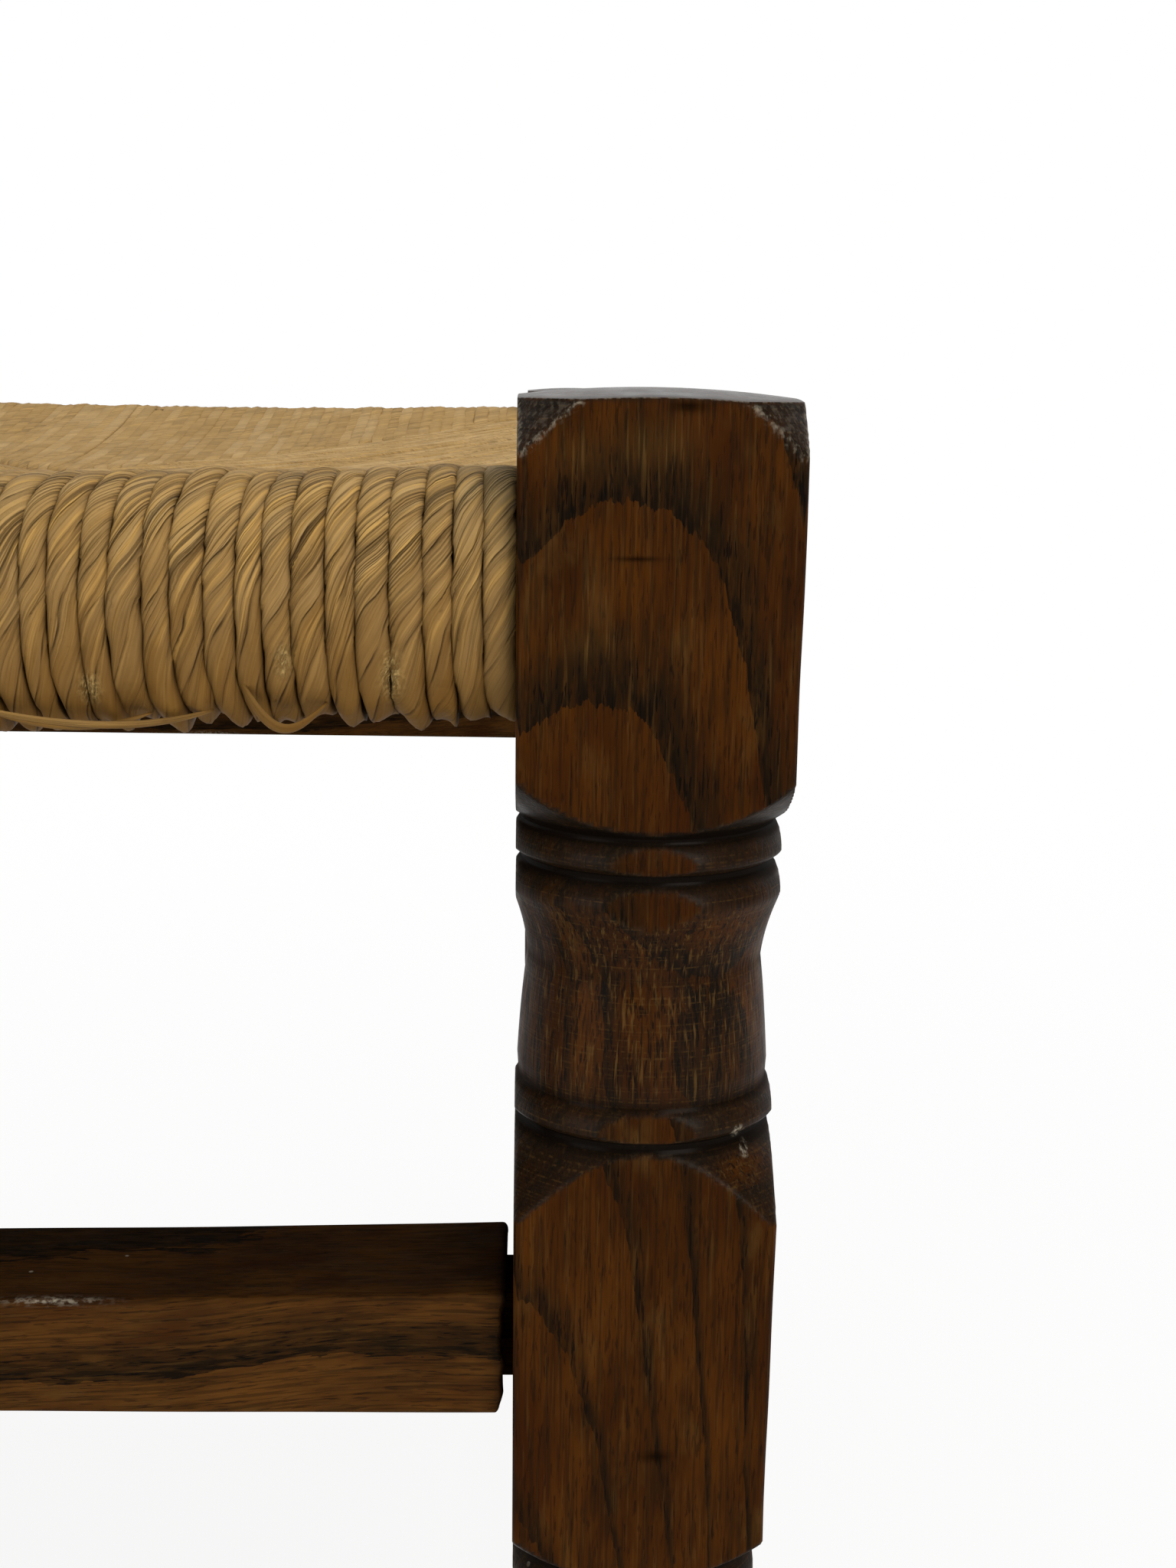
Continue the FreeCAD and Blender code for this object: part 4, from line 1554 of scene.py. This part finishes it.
        return np.stack([np.concatenate(t, 1), np.concatenate(z, 1)], -1)

    def place(self, points: np.ndarray) -> np.ndarray:
        """Turn points about the upright axis and move them to this bank's rail.

        Args:
            points: On the bank's own axes.

        Returns:
            The same points on the stool.
        """
        c, s = math.cos(self.angle), math.sin(self.angle)
        x = c * points[..., 0] - s * points[..., 1] + self.origin[0]
        y = s * points[..., 0] + c * points[..., 1] + self.origin[1]
        return np.stack([x, y, points[..., 2]], -1)

    def build(self, finish: Finish) -> None:
        """Sweep the strands, finely where they are close, and add the leaves that hang loose.

        Args:
            finish: Of the rush.
        """
        rng = seeded(self.side)
        x, width = self.strands(rng)
        jitter = rng.normal(0.0, self.hand.jitter, len(x))
        close = x > self.close_from
        groups = []
        for chosen, detail in ((close, Detail.CLOSE), (~close, Detail.FAR)):
            if chosen.any():
                groups.append(self.sweep(x[chosen], width[chosen], jitter[chosen], rng, WRAPS[detail]))
        groups += [self.hang(leaf) for leaf in self.loose]
        fit(loft(f"rush_{self.side}_strands", groups), finish, [f"rush_{self.side}"])

    def sweep(
        self, x: np.ndarray, width: np.ndarray, jitter: np.ndarray, rng: np.random.Generator, cut: Wrap
    ) -> Tubes:
        """Sweep a flattened, twisted section along every strand's wrap.

        A point at angle a round the strand is the middle line plus the half width times sin a
        along the rail plus the half thickness times cos a outwards, each to a power under one,
        which squares the section, most on the seat where sitters have pressed it flat. Both
        swell between the creases, which wind round the strand at the twist's rate.

        Args:
            x: Middles of the strands along the rail.
            width: Widths of the strands.
            jitter: Each strand's own change of height at the bottom.
            rng: Source of what differs from strand to strand.
            cut: How many points a strand has.

        Returns:
            The strands, placed on the stool.
        """
        count, hand = len(x), self.hand
        route = self.wrap(x, jitter, cut)
        t, z = route[..., 0], route[..., 1]
        s = running_sum(np.hypot(np.diff(t, axis=1), np.diff(z, axis=1)))
        h = np.clip((z - self.bottom) / (self.crest - self.bottom), 0.0, 1.0)
        in_upper = z > (self.crest + self.bottom) / 2 - self.layer_drop
        h = np.where(t < 0, h, np.where(in_upper, 1.0, 0.0))
        upper = h > 0.5
        over = smoothstep(-self.front, self.crest_flat - hand.pull_short, t) * upper
        seat = smoothstep(*hand.seat_from, t) * upper
        tip = (1 - h) ** hand.tip_power * smoothstep(*hand.tip_from, t)
        least, growth, waist = hand.bow
        bow = least + growth * (h - waist) ** 2
        leaning = self.leaning(x)[:, None] * self.lean / hand.bow_lean
        shift = np.where(upper, bow, bow * smoothstep(*hand.bow_from, t)) + hand.crest_pull * over
        shift = leaning * shift + hand.tip_pull * tip * (hand.tip_lean - leaning)
        shift = shift + ripple(s, rng, *hand.side_sway)
        path = np.stack([x[:, None] + shift, t, z], -1)
        rail = np.array([1.0, 0.0, 0.0])
        ahead = unit(np.gradient(path, axis=1))
        beside = unit(rail - ahead * (ahead @ rail)[..., None])
        outward = np.cross(beside, ahead)
        thin = hand.seat_press * seat
        rise = ripple(s, rng, *hand.rise_sway) + self.thickness / 2 * thin
        path = path + outward * rise[..., None]
        pinch = 1 - rng.uniform(*hand.pinch, (count, 1)) * tip
        spread = (hand.spread + hand.seat_spread * seat) * pinch
        half_width = width[:, None] / 2 * spread * (1 + ripple(s, rng, *hand.width_sway))
        half_thick = self.thickness / 2 * (1 - thin) * (1 + ripple(s, rng, *hand.thick_sway))
        turn = -np.pi + math.tau * np.arange(cut.around + 1) / cut.around
        wound = self.wind(s, h, turn, rng)
        fold = np.clip(hand.fold + ripple(s, rng, *hand.fold_sway), *hand.fold_limits)
        fold = fold * (1 - hand.seat_crease * seat)
        ridge = np.mod(self.leaves * wound[..., :-1] / math.tau, 1.0) - 0.5
        swell = 1 + cut.swell * ridge * fold[..., None]
        a = turn[:-1]
        wide = half_width[..., None] * swell * squared_off(np.sin(a), hand.side_power)
        power = hand.face_power - thin - hand.tip_square * tip
        thick = half_thick[..., None] * swell * squared_off(np.cos(a), power[..., None])
        sections = path[:, :, None] + beside[:, :, None] * wide[..., None]
        sections = sections + outward[:, :, None] * thick[..., None]
        ruffle = rng.uniform(-hand.ruffle, hand.ruffle, (count, 1)) * np.sin(a)
        ruffle = ruffle + hand.fringe * np.sin(3 * a + rng.uniform(0, math.tau, (count, 1)))
        sections[..., 2] += tip[..., None] * ruffle[:, None]
        along = np.broadcast_to(s[..., None], wound.shape)
        leaf_map = np.stack([self.leaves * wound / math.tau, along], -1)
        by_leg = np.exp(-(self.half_inside - np.abs(x)) / hand.leg_shade)[:, None]
        grey = hand.grey_low + (1 - hand.grey_low) * smoothstep(*hand.grey_from, h)
        values = {
            "tint": rng.uniform(0.0, 1.0, (count, 1)) + 0 * h,
            "grey": by_leg * grey * (1 - hand.seat_grey * seat),
            # paler with height, partly paling and partly painted light; its lack paints shade low down
            "bleach_and_light": smoothstep(*hand.bleach_and_light_from, h) * (1 - hand.seat_bleach_and_light * seat),
            "fold": fold,
            # the seat's top paled and painted lighter, most on the right bank
            "seat_paling_and_light": self.paling_and_light * seat,
        }
        shape = sections.shape[:3]
        values = {label: np.broadcast_to(value[..., None], shape) for label, value in values.items()}
        # painted shade at each strand's sides, in the gaps, less on the seat
        values["side"] = (1 - hand.seat_gap_shade * seat)[..., None] * np.abs(np.sin(a)) ** hand.gap_shade_edge
        values["rag"] = self.fray(sections) * (t < 0)[..., None]
        return Tubes(self.place(sections), values, leaf_map)

    def wind(
        self, s: np.ndarray, h: np.ndarray, turn: np.ndarray, rng: np.random.Generator
    ) -> np.ndarray:
        """Count the leaves' angle round each strand, as the twist carries it along.

        Counted mostly by width and not by angle, a crease crosses a flat strand nearly straight.

        Args:
            s: Distances along the strands.
            h: Shares of the bank's height.
            turn: Angles round a strand.
            rng: Source of each strand's own twist.

        Returns:
            Angles in radians, strands by points by angles.
        """
        hand, count = self.hand, len(s)
        rate = self.twist_low + (self.twist_high - self.twist_low) * smoothstep(*hand.twist_from, h)
        rate = rate * rng.uniform(*hand.twist_range, (count, 1))
        along = running_sum(rate[:, 1:] * np.diff(s, axis=1)) + ripple(s, rng, *hand.wind_sway)
        along = along + rng.uniform(0, math.tau, (count, 1))
        by_width = np.pi / 2 * np.sin(turn)
        by_width = np.where(np.cos(turn) < 0, np.sign(turn) * np.pi - by_width, by_width)
        return hand.by_angle * turn + (1 - hand.by_angle) * by_width - along[..., None]

    def fray(self, sections: np.ndarray) -> np.ndarray:
        """How torn the strands are: a bell about each torn spot, cut off at one.

        Args:
            sections: The strands' points on the bank's own axes.

        Returns:
            A number for each point.
        """
        rag = np.zeros(sections.shape[:3])
        for tear in self.torn:
            along = bell(sections[..., 0], tear.along, tear.wide)
            up = bell(sections[..., 2], tear.up, tear.tall)
            rag = np.maximum(rag, np.minimum(self.hand.fray * (along * up), 1.0))
        return rag

    def hang(self, leaf: LooseLeaf) -> Tubes:
        """Sweep one loose leaf, thin and tapered to both ends, along a smooth curve by its points.

        The curve is the Bernstein blend of the points, and the leaf's half width falls off as
        the square root of sin from its middle to its ends.

        Args:
            leaf: Where it hangs and how wide it is.

        Returns:
            The leaf, placed on the stool.
        """
        order = len(leaf.route) - 1
        q = np.linspace(0.0, 1.0, self.leaf_rings)
        blend = [math.comb(order, i) * q ** i * (1 - q) ** (order - i) for i in range(order + 1)]
        path = np.stack(blend, -1) @ np.array(leaf.route)
        ahead = unit(np.gradient(path, axis=0))
        beside = unit(np.cross(ahead, np.array(self.leaf_facing)))
        lift = np.cross(beside, ahead)
        turn = -np.pi + math.tau * np.arange(self.leaf_around + 1) / self.leaf_around
        a = turn[:-1]
        half = leaf.width / 2 * np.sqrt(np.clip(np.sin(np.pi * q), self.leaf_tip, 1.0))[:, None]
        bowed = self.leaf_thickness * (np.cos(a) - half * np.sin(a) ** 2)
        sections = path[:, None] + beside[:, None] * (half * np.sin(a))[..., None]
        sections = sections + lift[:, None] * bowed[..., None]
        s = running_sum(np.linalg.norm(np.diff(path, axis=0), axis=1))
        pairs = np.broadcast_arrays(0.5 + self.leaf_show * np.sin(turn), s[:, None])
        least, more = self.leaf_bleach_and_light
        tones = {"tint": leaf.tone, "bleach_and_light": least + more * leaf.tone}
        shape = sections[None].shape[:3]
        values = {label: np.full(shape, tones.get(label, 0.0)) for label in RUSH_LOOKS}
        return Tubes(self.place(sections)[None], values, np.stack(pairs, -1)[None])

    def pack(self, finish: Finish) -> None:
        """Fill the bank with a lumpy bolster that narrows to the seam.

        Its rings are rounded rectangles across the rail's direction, set in from both layers
        of strands, with a ripple of a millimetre over them.

        Args:
            finish: Of the packing.
        """
        t = np.linspace(self.pack_start, self.reach - self.pack_stop, self.pack_rings)
        narrowed = self.half_inside - np.maximum(t - self.leg_half, 0.0)
        half = np.maximum(narrowed - self.pack_side, self.pack_least)
        top = self.crest - self.sag - self.dish(t) - self.pack_inset
        low = self.bottom + self.under_rise() * (t / self.reach) + self.pack_inset
        angle = math.tau * np.arange(self.pack_around) / self.pack_around
        box = np.stack([np.cos(angle), np.sin(angle)], -1)
        box = box / np.abs(box).max(-1, keepdims=True)
        box = box * (1 - self.pack_corner + self.pack_corner * np.abs(np.cos(2 * angle))[:, None])
        inward = np.broadcast_to(t[:, None], (self.pack_rings, self.pack_around))
        lump = 1 + ripple(inward, seeded(self.side, 7), *self.pack_lumps)
        tall = self.pack_fill * np.maximum(top - low, self.pack_least)[:, None] / 2
        up = (top + low)[:, None] / 2 + tall * box[:, 1] * lump
        sections = np.stack([-half[:, None] * box[:, 0], inward, up], -1)
        piece = loft(f"stuffing_{self.side}_bolster", [Tubes(self.place(sections)[None], {})])
        fit(piece, finish, [f"stuffing_{self.side}"])


@dataclass(frozen=True)
class PhotoCamera:
    """The camera, from the leg's and rail's edges in the photograph."""

    place: Triple = (163.70, -614.58, 451.32)
    yaw: float = 1.689  # degrees towards +X from straight along +Y
    pitch: float = 11.145  # degrees down
    roll: float = -1.0  # degrees
    focal_pixels: float = 2700.0
    sensor: float = 36.0
    clip: float = 10.0

    def build(self) -> None:
        """Make the camera and set it as the scene's."""
        yaw, pitch, roll = (math.radians(v) for v in (self.yaw, self.pitch, self.roll))
        level_run = math.cos(pitch)
        forward = Vector((math.sin(yaw) * level_run, math.cos(yaw) * level_run, -math.sin(pitch)))
        level = Vector((math.cos(yaw), -math.sin(yaw), 0.0))
        down = forward.cross(level)
        right = math.cos(roll) * level + math.sin(roll) * down
        up = math.sin(roll) * level - math.cos(roll) * down
        data = bpy.data.cameras.new("photo_camera")
        data.sensor_fit = "VERTICAL"
        data.sensor_height = self.sensor
        data.lens = self.focal_pixels / PHOTO_HEIGHT * self.sensor
        data.clip_start = self.clip * MM
        camera = bpy.data.objects.new("photo_camera", data)
        turn = Matrix((right, up, -forward)).transposed().to_4x4()
        camera.matrix_world = Matrix.Translation(Vector(self.place) * MM) @ turn
        bpy.context.scene.collection.objects.link(camera)
        bpy.context.scene.camera = camera


@dataclass(frozen=True)
class SoftLight:
    """A square soft box, in millimetres and watts."""

    name: str
    place: Triple
    width: float
    power: float
    colour: str = WHITE
    aim: Triple = (0.0, 0.0, 300.0)

    def build(self) -> None:
        """Make the lamp and turn its face to the point that it lights."""
        data = bpy.data.lights.new(self.name, "AREA")
        data.size = self.width * MM
        data.energy = self.power
        data.color = linear(self.colour)[:3]
        lamp = bpy.data.objects.new(self.name, data)
        lamp.location = Vector(self.place) * MM
        toward = Vector(self.aim) - Vector(self.place)
        lamp.rotation_euler = toward.to_track_quat("-Z", "Y").to_euler()
        bpy.context.scene.collection.objects.link(lamp)


@dataclass(frozen=True)
class Studio:
    """A pale floor, soft boxes and a world that is white behind the stool."""

    floor_size: float = 9000.0
    sky: str = "#DDE3EA"
    sky_strength: float = 0.2
    behind: Pair = (0.1, 0.6)  # how far a ray points backwards, between which the sky whitens
    lights: tuple[SoftLight, ...] = (
        SoftLight("key_softbox", (1400.0, -2300.0, 1250.0), 1300.0, 40.0, "#FFF8F0"),
        SoftLight("fill_softbox", (-1800.0, -1900.0, 900.0), 1500.0, 18.0),
        SoftLight("top_softbox", (0.0, 200.0, 2300.0), 1700.0, 26.0),
    )

    def build(self) -> None:
        """Make the floor, the lamps and the world."""
        half = self.floor_size / 2 * MM
        mesh = bpy.data.meshes.new("studio_floor")
        corners = [(half * x, half * y, 0.0) for x, y in ((-1, -1), (1, -1), (1, 1), (-1, 1))]
        mesh.from_pydata(corners, [], [(0, 1, 2, 3)])
        mesh.materials.append(StudioPaper("matt_white_paper").material())
        floor = bpy.data.objects.new("studio_floor", mesh)
        bpy.context.scene.collection.objects.link(floor)
        for light in self.lights:
            light.build()
        self.world()

    def world(self) -> None:
        """Light the stool dimly all round, and show white to the camera and behind glossy edges."""
        world = bpy.data.worlds.new("studio_world")
        world.use_nodes = True
        world.node_tree.nodes.clear()
        node = partial(add, world.node_tree)
        depth = node(Kind.SPLIT, (node(Kind.PLACE, out="Generated"),), "Y")
        behind = node(Kind.EASE, (depth, *self.behind))
        seen = node(Kind.TIMES, (node(Kind.PATH, out="Is Glossy Ray"), behind))
        for ray in ("Is Camera Ray", "Is Transmission Ray"):
            seen = node(Kind.GREATER, (seen, node(Kind.PATH, out=ray)))
        dim = node(Kind.SKY, (linear(self.sky), self.sky_strength))
        white = node(Kind.SKY, (linear(WHITE), 1.0))
        node(Kind.WORLD, (node(Kind.BLEND, (seen, dim, white)),))
        bpy.context.scene.world = world


@dataclass
class Stool:
    """The whole stool, from the frame's places and each piece's own sizes."""

    places: StoolFrame
    shoulder_gap: float = 1.3  # stretcher joints have opened a little
    stretcher_wear: float = 2.2
    stretcher_edge: float = 0.6
    stretcher_tenon: tuple[float, float] = (14.0, 14.5)
    rail_gap: float = 0.1
    rail_edge: float = 6.0
    rail_tenon: tuple[float, float] = (10.0, 18.0)
    back_crown_wear: float = 3.6
    back_painted_shade: float = 0.35  # painted shade on the far stretcher, which the seat shades
    rub_highlight: float = 92.0  # where feet have rubbed the near stretcher's edge, with a painted highlight there
    close_strands: float = 108.0  # length of rail beside the near leg whose strands are cut finely

    def legs(self, finish: Finish) -> None:
        """Build the four legs, each with its own run of grain.

        Args:
            finish: Of the legs.
        """
        near = ("front", "right")
        hearts = {
            near: HeartLine(near=-47.8, far=106.1, depth_length=672.0),
            ("front", "left"): HeartLine(3, 2.0, 24.0, 6.0, 50.0),
            ("back", "right"): HeartLine(1, -3.0, 27.0, 9.0, 47.0),
            ("back", "left"): HeartLine(2, 1.0, -26.0, 4.0, 53.0),
        }
        near_marks = (
            Mark(3.2, 2.4, 2.6, 0.9, MarkKind.SMUDGE),
            Mark(-3.4, 23.6, 3.4, 0.4, MarkKind.SMUDGE, 0.95),
            Mark(-9.0, 30.0, 1.5, 4.5, MarkKind.PALE),
            Mark(-1.0, 7.5, 5.0, 3.2, MarkKind.PALE, 0.8),
            Mark(-11.0, 9.0, 4.0, 3.0, MarkKind.PALE, 0.5),
            Mark(-17.1, 29.5, 1.5, 4.0, MarkKind.PALE, 0.5),
            Mark(-10.0, 35.5, 4.0, 2.5, MarkKind.PALE, 0.6),
            Mark(2.4, 160.6, 2.2, 0.9, MarkKind.SMUDGE, 0.9),
            Mark(13.7, 109.7, 0.6, 0.8, MarkKind.CHIP, 1.1),
            Mark(15.0, 112.9, 0.5, 0.6, MarkKind.CHIP, 1.0),
            Mark(14.5, 115.2, 4.0, 2.2, MarkKind.BARE, 0.9),
        )
        p = self.places
        for (end, side), heart in hearts.items():
            centre = (p.leg_x if side == "right" else -p.leg_x, p.leg_y if end == "back" else -p.leg_y)
            close = (end, side) == near
            leg = TurnedLeg(f"leg_{end}_{side}", centre, p.leg_height, p.leg_width, heart,
                            Detail.CLOSE if close else Detail.FAR,
                            self.back_crown_wear if end == "back" else 0.0, near_marks if close else ())
            leg.build(finish)

    def leg_half(self, node: str) -> float:
        """Half a leg's width at the mid height of a bar, from the taper of the legs.

        Args:
            node: The bar.

        Returns:
            Half the width there.
        """
        low, high = box_of(node)
        share = (low[2] + high[2]) / 2 / self.places.leg_height
        foot = TurnedLeg.foot_width
        return (foot + (self.places.leg_width - foot) * share) / 2

    def bars(self, finish: Finish) -> None:
        """Build the stretchers, and the seat rails that the rush hides.

        Args:
            finish: Of the bars.
        """
        p = self.places
        for side, along_y in (("front", False), ("back", False), ("left", True), ("right", True)):
            axis = p.leg_y if along_y else p.leg_x
            node = ("side_stretcher_" if along_y else "end_stretcher_") + side
            front = side == "front"
            TenonedBar(node, along_y, axis - self.leg_half(node) - self.shoulder_gap,
                       self.stretcher_wear, self.stretcher_edge, self.stretcher_tenon,
                       Detail.CLOSE if front else Detail.FAR,
                       # the far stretcher gets painted shade
                       painted_shade=self.back_painted_shade if side == "back" else 0.0,
                       rub_highlight=self.rub_highlight if front else 0.0).build(finish)
            rail = "seat_rail_" + side
            TenonedBar(rail, along_y, axis - self.leg_half(rail) - self.rail_gap, 0.0, self.rail_edge,
                       self.rail_tenon, Detail.FAR, erosion=0.0).build(finish)

    def seat(self, rush: Finish, packing: Finish) -> None:
        """Build the four banks of rush and what is packed inside them.

        Args:
            rush: Finish of the strands.
            packing: Finish of what fills them.
        """
        p = self.places
        half = self.leg_half("seat_rail_front")
        near = {
            "sag": 3.0,
            "close_from": p.leg_x - half - self.close_strands,
            "torn": (Tear(144.0, 409.0, 1.2, 2.8), Tear(101.0, 406.5, 1.2, 1.6),
                     Tear(128.6, 411.0, 0.8, 2.0)),
            "loose": (
                LooseLeaf(((122.0, -14.0, 408.0), (124.6, -18.6, 404.5), (127.5, -19.0, 398.0),
                           (131.5, -18.0, 401.0), (134.5, -13.0, 404.5)), 2.2, 0.30),
                LooseLeaf(((80.0, -14.5, 404.5), (92.0, -18.0, 401.6), (104.0, -17.8, 400.0),
                           (113.0, -15.0, 401.4), (118.0, -12.0, 403.0)), 1.7, 0.60),
                LooseLeaf(((86.0, -15.0, 403.0), (95.0, -17.8, 400.4), (103.0, -16.0, 400.0),
                           (109.0, -12.0, 402.5)), 1.5, 0.15),
            ),
        }
        sides = {
            "front": (0.0, (0.0, -p.leg_y), p.leg_x, 5.3, 0.0, near),
            "back": (math.pi, (0.0, p.leg_y), p.leg_x, 2.0, -0.5, {"sag": 2.5}),
            "left": (-math.pi / 2, (-p.leg_x, 0.0), p.leg_y, 3.0, 0.0, {}),
            # the right bank's top is painted lighter than the others
            "right": (math.pi / 2, (p.leg_x, 0.0), p.leg_y, 3.0, 0.0, {"paling_and_light": 1.1}),
        }
        for side, (angle, origin, axis, lean, lift, extra) in sides.items():
            bank = RushBank(side, angle, origin, axis - half, p.leg_x, half, p.crest, p.rush_bottom,
                            p.rush_front, lean, lift, **extra)
            bank.build(rush)
            bank.pack(packing)


def main() -> None:
    """Build the stool, the studio and the camera."""
    logging.basicConfig(level=logging.INFO, format="%(name)s %(message)s")
    bpy.context.scene.view_settings.view_transform = "Standard"
    stool = Stool(StoolFrame.read())
    stool.legs(StainedChestnut("stained_chestnut_waxed"))
    stool.bars(StainedChestnut("stained_chestnut_worn", light="#573714", deep="#3A220C",
                               ring_width=16.0, wander=0.25, jag=0.10, thin_from=1e4, thin_to=2e4))
    stool.seat(TwistedRush("twisted_bulrush"), PackedRush("packed_bulrush"))
    Studio().build()
    PhotoCamera().build()


if __name__ == "__main__":
    main()
